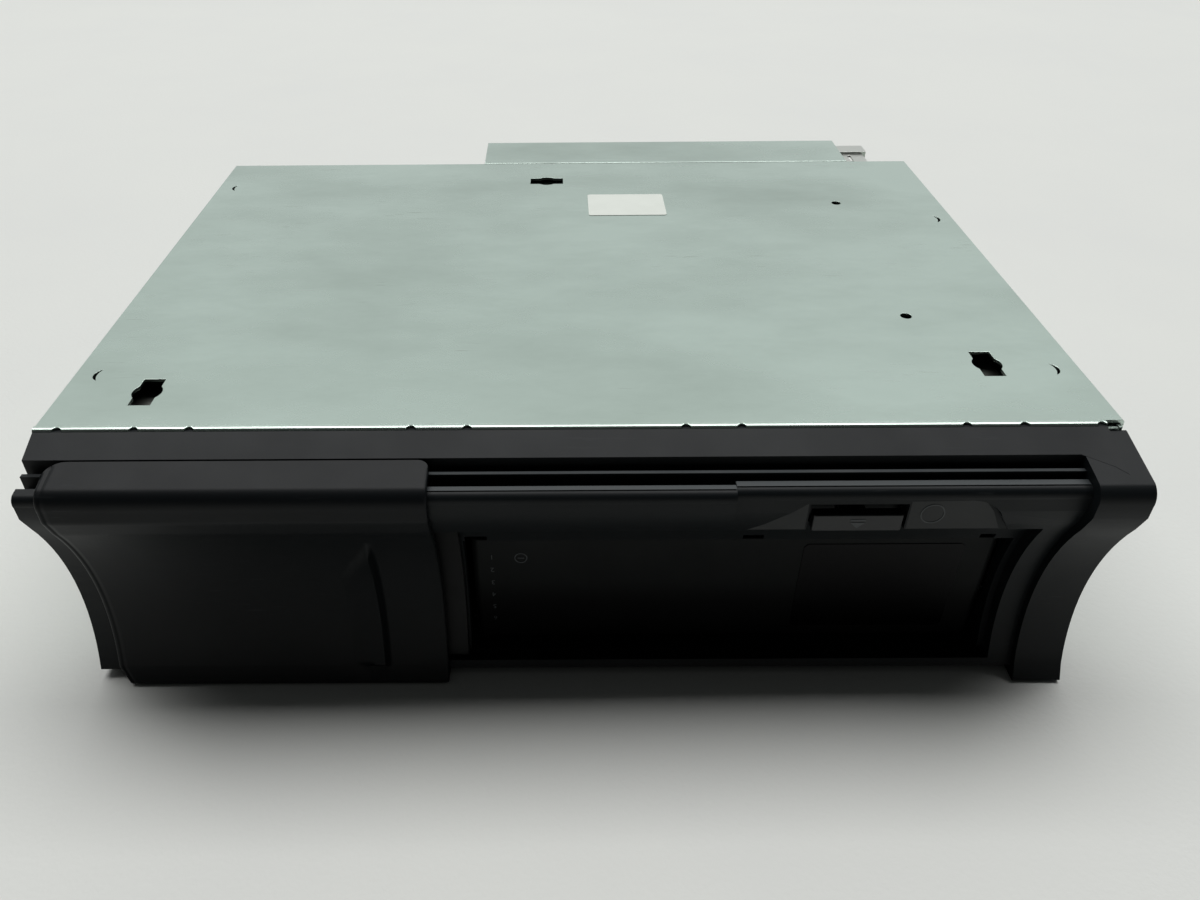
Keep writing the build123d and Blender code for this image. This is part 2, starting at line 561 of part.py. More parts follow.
def outer_door():
    outer = nose_path(0, -7.6)
    inner = back_along(nose_path(DOOR_T, -7.6))
    lip = [
        (-14.6, FOOT + 0.7), (-13.8, FOOT + 0.1), (-7.2, FOOT + 0.1), (-7.2, FOOT + 1.1),
        (-12.2, FOOT + 1.1), (-12.6, FOOT + 1.6),
    ]
    x1 = OUTER_LEAF_X0 + OUTER_LEAF_W
    door = slab("X", to_case(outer + lip + inner), OUTER_LEAF_X0, x1)
    tongue = [(-8.5, -4.0), (-8.5, -7.8), (-7.6, -7.8), (-7.6, -3.6)]
    door += slab("X", to_case(tongue), OUTER_LEAF_X0 + 3, x1 - 3)
    # rounded guide corners beside the band
    for x, side in ((OUTER_LEAF_X0, 1), (x1, -1)):
        corner = slab("Z", [
            (x - side, FRONT - 7.0), (x + side * 2.5, FRONT - 7.0),
            (x + side * 2.5, FRONT - 7.6),
            ((x + side * 0.73, FRONT - 8.33), (x, FRONT - 10.1)),
            (x - side, FRONT - 10.1),
        ], CASE_H - 9, CASE_H)
        door -= corner
    # grip rib on the hollow sweep
    grip_x = x1 - 14.5
    profile = [
        (grip_x - 5.0, CURVE_R + 0.4), (grip_x - 5.0, CURVE_R - 0.05), (grip_x - 0.8, CURVE_R - 2.1),
        (grip_x, CURVE_R - 2.0), (grip_x, CURVE_R + 0.4),
    ]
    points = [(x, FRONT + CURVE_Y + r, CASE_H + CURVE_Z) for x, r in profile]
    edges = [Line(points[i], points[(i + 1) % len(points)]) for i in range(len(points))]
    hub = Axis((0, FRONT + CURVE_Y, CASE_H + CURVE_Z), (1, 0, 0))
    rib = revolve(make_face(edges), axis=hub, revolution_arc=45)
    door += rib.rotate(hub, -20)
    return door


def inner_door():
    front = DOOR_T + DOOR_GAP + BEZEL_SKIN + LEAF_GAP
    rear = front + LEAF_T
    bottom = CURVE_END_Z - 0.9
    path = [
        (-12.2, -7.4), (curve_y(-18, front), -18),
        ((curve_y(-42, front), -42), (curve_y(bottom, front), bottom)),
        (curve_y(bottom, rear), bottom),
        ((curve_y(-42, rear), -42), (curve_y(-18, rear), -18)),
        (-10.8, -7.4),
    ]
    leaf = slab("X", to_case(path), INNER_LEAF_X0, INNER_LEAF_X0 + INNER_LEAF_W)
    # the leaf's top reaches into the rail only behind the outer leaf
    leaf -= block(INNER_LEAF_X0 + INNER_LEAF_W - 8, INNER_LEAF_X0 + INNER_LEAF_W + 1,
                  FRONT - 15, FRONT - 8, CASE_H - 16, CASE_H)
    return leaf


def eject_button():
    cap_back = FRONT + SCOOP_Y + BUTTON_T
    cap = block(BUTTON_X0, BUTTON_X1, FRONT + SCOOP_Y, cap_back,
                CASE_H + BUTTON_BOTTOM, CASE_H + BUTTON_TOP)
    cap = fillet(cap.edges().group_by(Axis.Y)[0], 0.4)
    stem = block(BUTTON_MID - STEM_W / 2, BUTTON_MID + STEM_W / 2, cap_back, FRONT + STEM_END,
                 CASE_H + STEM_BOTTOM, CASE_H + STEM_TOP)
    keeper_y = FRONT + POCKET_WALL_Y + RUN
    keeper = block(BUTTON_MID - STEM_W / 2 - 1.5, BUTTON_MID + STEM_W / 2 + 1.5, keeper_y,
                   keeper_y + 1, CASE_H + STEM_BOTTOM - 0.7, CASE_H + STEM_TOP + 0.6)
    return cap + stem + keeper


def eject_switch():
    face = FRONT + STEM_END + BUTTON_TRAVEL + RUN
    body = block(BUTTON_MID - 4, BUTTON_MID + 4, face + 1, EJECT_BOARD_Y, CASE_H - 22, CASE_H - 15)
    return body + prism("Y", face, face + 1, BUTTON_MID, CASE_H - 18.4, 1.6, 8)


def eject_board():
    return block(BUTTON_X0 - 3.7, BUTTON_X1 + 3.9, EJECT_BOARD_Y, EJECT_BOARD_Y + 1.2,
                 CASE_H + EJECT_POST_DROP - 3, CASE_H - 12)


def blank_sticker():
    sticker = block(*STICKER, CASE_H, CASE_H + STICKER_T)
    return chamfer(sticker.edges().filter_by(Axis.Z), 0.6)


# ---------------------------------------------------------------- magazine
def magazine_shell():
    z0, z1 = MAG_Z0, MAG_Z0 + MAG_H
    shell = block(MAG_X0, MAG_X1, MAG_Y0, MAG_Y1, z0, z1)
    shell = fillet(shell.edges().filter_by(Axis.Z), 2.0)
    shell -= block(MAG_X0 - 1, MAG_IN_X1, MAG_IN_Y0, MAG_IN_Y1, z0 + MAG_WALL, z1 - MAG_WALL)
    for index in range(TRAY_COUNT - 1):
        low = tray_z(index) + TRAY_T + RUN
        high = tray_z(index + 1) - RUN
        shell += block(MAG_X0 + 2.5, MAG_IN_X1, MAG_IN_Y0, MAG_IN_Y0 + LEDGE, low, high)
        shell += block(MAG_X0 + 13, MAG_IN_X1, MAG_IN_Y1 - LEDGE, MAG_IN_Y1, low, high)
    # thumb cut in the open side of both covers, shaft for the puller's hook
    shell -= long_hole("Z", z0 - 1, z1 + 1, (MAG_X0 - 1, DISC_Y - 16), (MAG_X0 - 1, DISC_Y + 16), 17)
    return shell - block(MAG_X0 - 1, MAG_X0 + 8, MAG_IN_Y1 - 4.8, MAG_IN_Y1, z0 - 1, z1 + 1)


def magazine_label():
    x1 = MAG_X1 - LABEL_MARGIN
    label = block(x1 - LABEL_W, x1, MAG_Y0 - LABEL_T, MAG_Y0, MAG_Z0 + 3.5, MAG_Z0 + MAG_H - 2)
    return chamfer(label.edges().filter_by(Axis.Y), 1.0)


def tray_z(index):
    """Lowest face of a tray."""
    return TRAY_Z0 + index * TRAY_PITCH


def tray(index):
    z0 = tray_z(index)
    z1 = z0 + TRAY_T
    plate = block(TRAY_X0, TRAY_X1, TRAY_Y0, TRAY_Y1, z0, z1)
    plate = chamfer(plate.edges().filter_by(Axis.Z), 2.0)
    plate -= prism("Z", z0 - 1, z1 - DISC_FLOOR, SEAT_X, DISC_Y, DISC_D / 2 + 0.7, 40)
    # the turntable and the clamp pass through a bay from the open edge
    half, end = TRAY_BAY_W / 2, SEAT_X + TURNTABLE_R + 3.0
    plate -= slab("Z", [
        (TRAY_X0 - 1, DISC_Y - half), (end - 9, DISC_Y - half), (end, DISC_Y - half + 9),
        (end, DISC_Y + half - 9), (end - 9, DISC_Y + half), (TRAY_X0 - 1, DISC_Y + half),
    ], z0 - 1, z1 + 1)
    plate -= block(SEAT_X - PICKUP_SLOT_W / 2, SEAT_X + PICKUP_SLOT_W / 2, DISC_Y,
                   DISC_Y + PICKUP_SLOT_L, z0 - 1, z1 + 1)
    # corner with the lug that the puller's hook takes
    lug_y = TRAY_Y1 - LUG_GAP - LUG_L
    plate -= block(TRAY_X0 - 1, TRAY_X0 + HOOK_BAY, lug_y, TRAY_Y1 + 1, z0 - 1, z1 + 1)
    return plate + block(TRAY_X0, TRAY_X0 + LUG_W, lug_y - 0.5, TRAY_Y1 - LUG_GAP, z0, z1)


# ---------------------------------------------------------------- floating frame
def mech_base():
    base = block(FRAME_X0, FRAME_X1, FRAME_Y0, FRAME_Y1, FRAME_TOP, FRAME_TOP + BASE_T)
    base = chamfer(base.edges().filter_by(Axis.Z), 4.0)
    # threads of the transport screws
    for x, y, _ in TRANSPORT_SLOTS:
        base -= prism("Z", FRAME_TOP - 1, CASE_H, x, y, 1.5, 12)
    windows = 4
    for index in range(windows):
        x = FRAME_X0 + (FRAME_X1 - FRAME_X0) * (index + 0.5) / windows
        base -= block(x - 9, x + 9, FRAME_Y0 + 45, FRAME_Y0 + 95, FRAME_TOP - 1, CASE_H)
    return base


def mech_wall_left():
    x0, x1 = FRAME_X0, FRAME_X0 + FRAME_T
    wall = slab("X", [
        (FRAME_Y0, FRAME_TOP), (FRAME_Y0, EAR_Z), (TONGUE_Y0 - 3, EAR_Z),
        (TONGUE_Y0, FLOOR_Z + FRAME_T), (TONGUE_Y1, FLOOR_Z + FRAME_T),
        (TONGUE_Y1 + 2.5, EAR_Z), (FRAME_Y1, EAR_Z), (FRAME_Y1, FRAME_TOP),
    ], x0, x1)
    for _, y, _ in DAMPERS[:2]:
        wall += block(x0 - 4.6, x0, y - EAR_W, y + EAR_W, EAR_Z, EAR_Z + FRAME_T)
    wall -= long_hole("X", x0 - 1, x1 + 1, (LIFT_PIN_Y, LIFT_PIN_Z + 0.5),
                      (LIFT_PIN_Y, LIFT_PIN_Z - DECK_TRAVEL - 0.5), 2 * LIFT_PIN_R + 0.6)
    wall -= prism("X", x0 - 1, x1 + 1, *motor_axis(), 1.5, 12)
    return wall - block(x0 - 1, x1 + 1, FRAME_Y0 + 8, FRAME_Y0 + 22, EAR_Z + 12, FRAME_TOP - 12)


def mech_wall_right():
    x1 = FRAME_X1
    wall = block(x1 - FRAME_T, x1, FRAME_Y0, FRAME_Y1, FLOOR_Z + FRAME_T, FRAME_TOP)
    for _, y, _ in DAMPERS[2:]:
        wall += block(x1, x1 + 13, y - 6, y + 6, EAR_Z, EAR_Z + FRAME_T)
    for y in (-45, -15, 15, 45):
        wall -= block(x1 - 3, x1 + 1, y - 10, y + 10, ROOF_Z + 8, FRAME_TOP - 6)
    return wall


def mech_wall_rear():
    wall = block(REAR_WALL_X0, FRAME_X1 - FRAME_T, FRAME_Y1 - FRAME_T, FRAME_Y1,
                 FLOOR_Z + FRAME_T, FRAME_TOP)
    for x in (FRAME_X0 + 47, MAG_X0 + 6, 30, 80):
        wall -= block(x - 10, x + 10, FRAME_Y1 - 3, FRAME_Y1 + 1, ROOF_Z + 6, FRAME_TOP - 6)
    return wall


def bay_floor():
    z0, z1 = FLOOR_Z, FLOOR_Z + FRAME_T
    floor = block(MAG_X0 - 2, FRAME_X1, FRAME_Y0, FRAME_Y1, z0, z1)
    floor += block(REAR_WALL_X0, MAG_X0, GUIDE_Y - 3.6, FRAME_Y1, z0, z1)
    return floor + block(FRAME_X0, REAR_WALL_X0, TONGUE_Y0, TONGUE_Y1, z0, z1)


def bay_roof():
    z0, z1 = ROOF_Z, ROOF_Z + FRAME_T
    roof = block(MAG_X0 - 2, FRAME_X1 - FRAME_T, FRAME_Y0, MAG_Y1 - 0.4, z0, z1)
    roof += block(MAG_X0 - 2, MAG_X0 - 1, FRAME_Y0, MAG_Y1 - 8.4, z1, z1 + 3.4)
    # shaft for the puller's hook
    return roof - block(MAG_X0 - 3, MAG_X0 + 8.5, MAG_IN_Y1 - 5, MAG_Y1 + 1, z0 - 1, z1 + 4)


def bay_runners():
    strips = []
    for x in (MAG_X0 + 5, MAG_X1 - 7):
        strips.append(block(x - 2, x + 2, FRAME_Y0, MAG_Y1, FLOOR_Z + FRAME_T, MAG_Z0 - 0.1))
    return group(strips)


def roof_stays():
    """Hexagon posts that carry the bay roof from the frame's base."""
    stays = []
    for x, y in ((MAG_X0 + 12, MAG_Y1 - 4.4), (FRAME_X1 - 5, MAG_Y1 - 4.4),
                 (MAG_X0 + 2, FRAME_Y0 + 7), (FRAME_X1 - 5, FRAME_Y0 + 7)):
        stays.append(prism("Z", ROOF_Z + FRAME_T, FRAME_TOP, x, y, 2.5))
    return group(stays)


def magazine_stops():
    """Rubber buffers behind the magazine, on angles that stand on the bay floor."""
    stops = []
    low = FLOOR_Z + FRAME_T
    for x in (MAG_X0 + 26, MAG_X1 - 26):
        angle = block(x - 7, x + 7, MAG_Y1 + 6, MAG_Y1 + 7, low, 26)
        angle += block(x - 7, x + 7, MAG_Y1 + 7, MAG_Y1 + 15.6, low, low + FRAME_T)
        stops.append(angle + prism("Y", MAG_Y1 + RUN, MAG_Y1 + 6, x, 20, 4, 12))
    return group(stops)


def dampers():
    """Oil filled cups between the case and the floating frame's ears."""
    cups = []
    for x, y, r in DAMPERS:
        cups.append(prism("Z", SHEET, EAR_Z, x, y, r, 12))
    return group(cups)


# ---------------------------------------------------------------- lift
def involute(module, teeth, phase, centre, backlash=0.12):
    """Outline of a spur gear in the y-z plane, with one tooth centred on phase (degrees)."""
    pitch_r = module * teeth / 2
    base_r = pitch_r * math.cos(math.radians(20))
    root_r, tip_r = pitch_r - 1.25 * module, pitch_r + module
    half = math.pi / (2 * teeth) - backlash / pitch_r
    roll = math.tan(math.radians(20)) - math.radians(20)

    def swing(r):
        lean = math.acos(min(1.0, base_r / r))
        return half + roll - (math.tan(lean) - lean)

    radii = [root_r, pitch_r, tip_r]
    points = []
    for index in range(teeth):
        mid = math.radians(phase + index * 360 / teeth)
        for side, order in ((-1, radii), (1, radii[::-1])):
            for r in order:
                angle = mid + side * swing(max(r, base_r))
                points.append((centre[0] + r * math.cos(angle), centre[1] + r * math.sin(angle)))
    return points


def mesh_phase(teeth, phase, mate_teeth, bearing):
    """Phase of a gear's mate so that their teeth interleave along the line of centres."""
    share = ((bearing - phase) * teeth / 360) % 1
    return bearing + 180 + (share + 0.5) * 360 / mate_teeth


def step_out(point, distance, bearing):
    """A point at a distance and bearing (degrees) from another, in the y-z plane."""
    angle = math.radians(bearing)
    return point[0] + distance * math.cos(angle), point[1] + distance * math.sin(angle)


def idler_axis():
    return step_out(LIFT_AXIS, TRAIN_MODULE * (WHEEL_TEETH + IDLER_TEETH) / 2, IDLER_ANGLE)


def motor_axis():
    return step_out(idler_axis(), TRAIN_MODULE * (IDLER_TEETH + MOTOR_TEETH) / 2, MOTOR_ANGLE)


def lift_cam():
    """Slide plate: its slanted slot lifts the deck's pin, its lower edge is the rack."""
    pitch = math.pi * RACK_MODULE
    pitch_z = LIFT_AXIS[1] + RACK_MODULE * PINION_TEETH / 2
    root_z, tip_z = pitch_z + 1.25 * RACK_MODULE, pitch_z - RACK_MODULE
    half = pitch / 4 - 0.12
    lean = math.tan(math.radians(20))
    root_half, tip_half = half + 1.25 * RACK_MODULE * lean, half - RACK_MODULE * lean
    rack = []
    count = int((DECK_TRAVEL + 12) / pitch)
    for index in range(count, -1, -1):
        middle = LIFT_AXIS[0] + pitch * (1.5 - index)
        rack += [(middle - root_half, root_z), (middle - tip_half, tip_z),
                 (middle + tip_half, tip_z), (middle + root_half, root_z)]
    rear = LIFT_AXIS[0] + CAM_MARGIN
    reach = LIFT_PIN_Y - DECK_TRAVEL
    low = LIFT_PIN_Z - DECK_TRAVEL
    foot = low - CAM_MARGIN
    plate = slab("X", [
        (reach - 9, foot), (reach + 8, foot), (reach + 8 + root_z - foot, root_z),
    ] + rack + [
        (rear, root_z), (rear, LIFT_PIN_Z + CAM_MARGIN), (LIFT_PIN_Y - 8, LIFT_PIN_Z + CAM_MARGIN),
        (reach - 9, low + 4.5),
    ], CAM_X, CAM_X + CAM_T)
    plate -= long_hole("X", CAM_X - 1, CAM_X + CAM_T + 1, (LIFT_PIN_Y + 0.5, LIFT_PIN_Z + 0.5),
                       (reach - 0.5, low - 0.5), 2 * LIFT_PIN_R + 0.5)
    # one slot for both guide studs
    return plate - long_hole("X", CAM_X - 1, CAM_X + CAM_T + 1,
                             (CAM_STUD_Y[0] - DECK_TRAVEL - 0.5, CAM_STUD_Z),
                             (CAM_STUD_Y[1] + 0.5, CAM_STUD_Z), 2 * AXLE_R + 0.6)


def lift_gear():
    """Large wheel and rack pinion in one moulding."""
    wheel = slab("X", involute(TRAIN_MODULE, WHEEL_TEETH, 0, LIFT_AXIS), TRAIN_X,
                 TRAIN_X + TRAIN_T)
    pinion = slab("X", involute(RACK_MODULE, PINION_TEETH, 90, LIFT_AXIS), TRAIN_X + TRAIN_T,
                  FRAME_X0 - RUN)
    return wheel + pinion - rod("X", -HALF_W, FRAME_X0, *LIFT_AXIS, AXLE_R + 0.1)


def idler_phase():
    return mesh_phase(WHEEL_TEETH, 0, IDLER_TEETH, IDLER_ANGLE)


def idler_gear():
    gear = slab("X", involute(TRAIN_MODULE, IDLER_TEETH, idler_phase(), idler_axis()), TRAIN_X,
                TRAIN_X + TRAIN_T)
    gear += prism("X", TRAIN_X + TRAIN_T, FRAME_X0 - RUN, *idler_axis(), 3.0, 12)
    return gear - rod("X", -HALF_W, FRAME_X0, *idler_axis(), AXLE_R + 0.1)


def motor_pinion():
    phase = mesh_phase(IDLER_TEETH, idler_phase(), MOTOR_TEETH, MOTOR_ANGLE)
    pinion = slab("X", involute(TRAIN_MODULE, MOTOR_TEETH, phase, motor_axis()), TRAIN_X,
                  TRAIN_X + TRAIN_T)
    return pinion + prism("X", TRAIN_X + TRAIN_T, FRAME_X0 + FRAME_T - 0.05, *motor_axis(), 1.0, 12)


def lift_motor():
    x0 = FRAME_X0 + FRAME_T
    can = prism("X", x0 + 0.6, x0 + MOTOR_L, *motor_axis(), MOTOR_R, 24)
    return can + prism("X", x0, x0 + 0.6, *motor_axis(), 3.0, 12)


def lift_studs():
    """Axles of the two gears and the two guide studs of the cam, riveted to the wall."""
    studs = []
    for axis in (LIFT_AXIS, idler_axis()):
        stud = prism("X", TRAIN_X - RUN, FRAME_X0, *axis, AXLE_R, 12)
        studs.append(stud + prism("X", 0.05 - INNER_X, TRAIN_X - RUN, *axis, AXLE_R + 0.9))
    for y in CAM_STUD_Y:
        stud = prism("X", CAM_X - FIT, FRAME_X0, y, CAM_STUD_Z, AXLE_R, 12)
        studs.append(stud + prism("X", CAM_X - FIT - 0.7, CAM_X - FIT, y, CAM_STUD_Z, 2.8))
    return group(studs)


def deck_guide_rods():
    return group([rod("Z", FLOOR_Z + FRAME_T, FRAME_TOP, x, GUIDE_Y, AXLE_R) for x in GUIDE_X])


# ---------------------------------------------------------------- play deck
def deck_chassis():
    deck = block(DECK_X0, DECK_X1, DECK_Y0, DECK_Y1, DECK_Z, DECK_TOP)
    deck = chamfer(deck.edges().filter_by(Axis.Z), 2.0)
    # side flange with the lift pin
    deck += block(DECK_X0, DECK_X0 + FRAME_T, DECK_Y0 + 10, LIFT_PIN_Y + 40, DECK_Z - 8, DECK_Z + 6)
    deck += prism("X", CAM_X - 0.2, DECK_X0, LIFT_PIN_Y, LIFT_PIN_Z, LIFT_PIN_R, 12)
    # bushes on the guide rods
    for x in GUIDE_X:
        deck += block(x - 4, x + 4, DECK_Y1 - 4, GUIDE_Y, DECK_Z, DECK_TOP)
        deck += prism("Z", DECK_Z - 3, DECK_Z + 7, x, GUIDE_Y, 3.4, 12)
        deck -= rod("Z", DECK_Z - 4, DECK_Z + 8, x, GUIDE_Y, AXLE_R + 0.1)
    # windows for the sled, the sled motor and the spindle
    deck -= block(DISC_X - 12, DISC_X + 9, SLED_Y0 - 1, DECK_Y1 - 2.5, DECK_Z - 1, DECK_TOP + 1)
    deck -= block(SCREW_X - 6, SCREW_X + 6, SLED_Y0 - 30, SLED_Y0 - 5, DECK_Z - 1, DECK_TOP + 1)
    deck -= prism("Z", DECK_Z - 1, DECK_TOP + 1, DISC_X, DISC_Y, 3.0, 12)
    # lugs for the clamp arm
    for y in (CLAMP_Y0 - 2.3, CLAMP_Y1 + 0.3):
        lug = block(CLAMP_AXIS_X - 3.5, CLAMP_AXIS_X + 3.5, y, y + 2, CLAMP_AXIS_Z - 3, DECK_Z)
        deck += lug - prism("Y", y - 1, y + 3, CLAMP_AXIS_X, CLAMP_AXIS_Z, 1.4, 12)
    # holders that the sled's rods and screw stand between
    for x in SLED_ROD_X:
        for y in (SLED_Y0 - 4, DECK_Y1 - 2):
            deck += block(x - 2, x + 2, y, y + 2, DECK_TOP, SLED_ROD_Z + 2)
    deck += block(SCREW_X - 3, SCREW_X + 3, DECK_Y1 - 2, DECK_Y1, DECK_TOP, SCREW_Z + 2.5)
    # hangers that the puller's rod stands between
    for x in (DECK_X0, DECK_X1 - 1):
        deck += block(x, x + 1, PULLER_Y - 3, PULLER_Y + 3, PULLER_Z - 2.5, DECK_Z)
    return deck


def spindle_motor():
    return rod("Z", DECK_TOP, DECK_TOP + 6.5, DISC_X, DISC_Y, 11)


def turntable():
    table = prism("Z", DISC_Z, DISC_Z + 1.6, DISC_X, DISC_Y, TURNTABLE_R, 24)
    table += prism("Z", DISC_Z + 1.6, DECK_Z - 0.8, DISC_X, DISC_Y, 5.0, 12)
    table += prism("Z", DECK_Z - 0.8, DECK_TOP - 0.05, DISC_X, DISC_Y, 1.0, 12)
    cone = prism("Z", DISC_Z - 1.6, DISC_Z, DISC_X, DISC_Y, CONE_R, 16)
    return table + chamfer(edges_at(cone, "Z", DISC_Z - 1.6), 1.1)


def clamp_arm():
    z0, z1 = CLAMP_PLATE_Z, CLAMP_PLATE_Z + CLAMP_PLATE_T
    tip_r = CLAMP_NECK_R + 3.5
    arm = slab("Z", [
        (CLAMP_AXIS_X + 1, CLAMP_Y0), (CLAMP_AXIS_X + 1, CLAMP_Y1), (DISC_X - 16, DISC_Y + tip_r),
        (DISC_X, DISC_Y + tip_r), ((DISC_X + tip_r, DISC_Y), (DISC_X, DISC_Y - tip_r)),
        (DISC_X - 16, DISC_Y - tip_r),
    ], z0, z1)
    arm += rod("Y", CLAMP_Y0, CLAMP_Y1, CLAMP_AXIS_X, CLAMP_AXIS_Z, 2.5)
    arm += block(CLAMP_AXIS_X - 1, CLAMP_AXIS_X + 2, CLAMP_Y0, CLAMP_Y1, z0, CLAMP_AXIS_Z)
    # stiffening ribs
    for y in (DISC_Y - 6.5, DISC_Y + 5.5):
        arm += block(CLAMP_AXIS_X + 4, DISC_X - 14, y, y + 1.0, z0 - 1.3, z0)
    arm += prism("Y", CLAMP_Y0 - 2.3, CLAMP_Y1 + 2.3, CLAMP_AXIS_X, CLAMP_AXIS_Z, 1.2, 12)
    return arm - rod("Z", z0 - 1, z1 + 1, DISC_X, DISC_Y, CLAMP_NECK_R + RUN)


def clamper():
    z0, z1 = CLAMP_PLATE_Z - RUN, CLAMP_PLATE_Z + CLAMP_PLATE_T + RUN
    puck = prism("Z", z1, DISC_Z - 1.3, DISC_X, DISC_Y, TURNTABLE_R, 24)
    puck -= prism("Z", DISC_Z - 1.9, DISC_Z, DISC_X, DISC_Y, CONE_R + 0.8, 12)
    puck += prism("Z", z0, z1, DISC_X, DISC_Y, CLAMP_NECK_R, 12)
    return puck + prism("Z", z0 - 0.5, z0, DISC_X, DISC_Y, CLAMP_NECK_R + 1.6, 12)


def pickup_sled():
    y0, y1 = SLED_Y0, SLED_Y0 + SLED_L
    body = block(DISC_X - 10.5, DISC_X + 8.0, y0, y1, DECK_Z - 3, SLED_ROD_Z + 1.8)
    body += block(SLED_ROD_X[0] - 2, SLED_ROD_X[1] + 2, y0, y1, SLED_ROD_Z - 1.8,
                  SLED_ROD_Z + 1.8)
    # bore for one rod, open fork for the other
    body -= rod("Y", y0 - 1, y1 + 1, SLED_ROD_X[0], SLED_ROD_Z, SLED_ROD_R + 0.1)
    body -= block(SLED_ROD_X[1] - SLED_ROD_R - 0.1, SLED_ROD_X[1] + 3, y0 - 1, y1 + 1,
                  SLED_ROD_Z - SLED_ROD_R - 0.1, SLED_ROD_Z + SLED_ROD_R + 0.1)
    finger_x = SLED_ROD_X[0] - 2.0
    body += block(SCREW_X + SCREW_R + RUN, finger_x, y0 + 6, y0 + 12, SLED_ROD_Z - 1.4,
                  SLED_ROD_Z + 1.4)
    return body


def pickup_lens():
    y = SLED_Y0 + SLED_L / 2
    holder = prism("Z", DECK_Z - 3.5, DECK_Z - 3, DISC_X, y, 3.4, 12)
    return holder + prism("Z", DECK_Z - 3.9, DECK_Z - 3.5, DISC_X, y, 2.2, 12)


def sled_rods():
    return group([rod("Y", SLED_Y0 - 2, DECK_Y1 - 2, x, SLED_ROD_Z, SLED_ROD_R)
                  for x in SLED_ROD_X])


def lead_screw():
    return rod("Y", SLED_Y0 - 6.95, DECK_Y1 - 2.05, SCREW_X, SCREW_Z, SCREW_R)


def sled_motor():
    return prism("Y", SLED_Y0 - 7 - SLED_MOTOR_L, SLED_Y0 - 7, SCREW_X, SCREW_Z, SLED_MOTOR_R, 16)


def tray_puller():
    x0 = PULLER_X1 - 4
    body = block(x0, PULLER_X1, PULLER_Y - 2.4, PULLER_REAR, PULLER_Z - 2.2, PULLER_Z + 2.2)
    # arm and hook that reach behind a tray's lug
    hook_x = TRAY_X0 + LUG_W + 0.8
    low, high = PULLER_Z - 1.6, PULLER_Z + 1.2
    body += block(PULLER_X1, hook_x + 2, PULLER_REAR - 1.6, PULLER_REAR, low, high)
    body += block(hook_x, hook_x + 2, PULLER_REAR - 3.4, PULLER_REAR, low, high)
    return body - rod("X", x0 - 1, PULLER_X1 + 1, PULLER_Y, PULLER_Z, PULLER_ROD_R + 0.1)


def puller_rod():
    return rod("X", DECK_X0 + 1, DECK_X1 - 1, PULLER_Y, PULLER_Z, PULLER_ROD_R)


# ---------------------------------------------------------------- electronics
def main_board():
    return block(BOARD_X0, BOARD_X1, BOARD_Y0, BOARD_Y1, BOARD_Z, BOARD_Z + BOARD_T)


def board_standoffs():
    """Hexagon posts between the bay roof and the board."""
    return group([prism("Z", ROOF_Z + FRAME_T, BOARD_Z, x, y, 3.0) for x, y in BOARD_SCREWS])


def board_spot(share_x, share_y):
    """A place on the board, as shares of its width and depth."""
    return BOARD_X0 + share_x * (BOARD_X1 - BOARD_X0), BOARD_Y0 + share_y * (BOARD_Y1 - BOARD_Y0)


def board_chips():
    top = BOARD_Z + BOARD_T
    chips = []
    for share_x, share_y, w, d in ((0.25, 0.29, 20, 20), (0.55, 0.25, 14, 14), (0.8, 0.37, 12, 18),
                                   (0.34, 0.6, 16, 10), (0.68, 0.68, 22, 14), (0.88, 0.8, 8, 12)):
        x, y = board_spot(share_x, share_y)
        chips.append(block(x - w / 2, x + w / 2, y - d / 2, y + d / 2, top, top + 2.2))
    return group(chips)


def board_capacitors():
    top = BOARD_Z + BOARD_T
    cans = []
    for share_x, share_y, r in ((0.13, 0.76, 4), (0.21, 0.86, 4), (0.91, 0.21, 5), (0.91, 0.54, 3.5),
                                (0.49, 0.89, 5)):
        x, y = board_spot(share_x, share_y)
        cans.append(prism("Z", top, top + 0.15 * r * BOARD_ROOM, x, y, r, 8))
    return group(cans)


def board_connectors():
    top = BOARD_Z + BOARD_T
    sockets = []
    for share_x, share_y, w in ((0.14, 0.13, 10), (0.42, 0.08, 20), (0.7, 0.08, 14),
                                (0.68, 0.92, 24)):
        x, y = board_spot(share_x, share_y)
        shell = block(x - w / 2, x + w / 2, y - 3, y + 3, top, top + 6.4)
        sockets.append(shell - block(x - w / 2 + 1, x + w / 2 - 1, y - 2, y + 2, top + 2.4, top + 7))
    return group(sockets)


def rear_board():
    """Upright board in the rear housing, on the rear panel, with its five tall capacitors."""
    face = BACK + 4.6
    z0, z1 = HOUSING_Z0 + 5, CASE_H - 6
    board = block(HOUSING_X0 + 6, HOUSING_X1 - 6, BACK + 3, face, z0, z1)
    for x in (HOUSING_X0 + 10, HOUSING_X1 - 10):
        for z in (z0 + 4, z1 - 4):
            board += prism("Y", BACK, BACK + 3, x, z, 2.2)
    for x, z, r in ((-10, 30, 5), (4, 30, 5), (26, 48, 4), (60, 28, 6), (84, 50, 4)):
        board += prism("Y", face, face + 2.4 * r, x, z, r, 8)
    return board


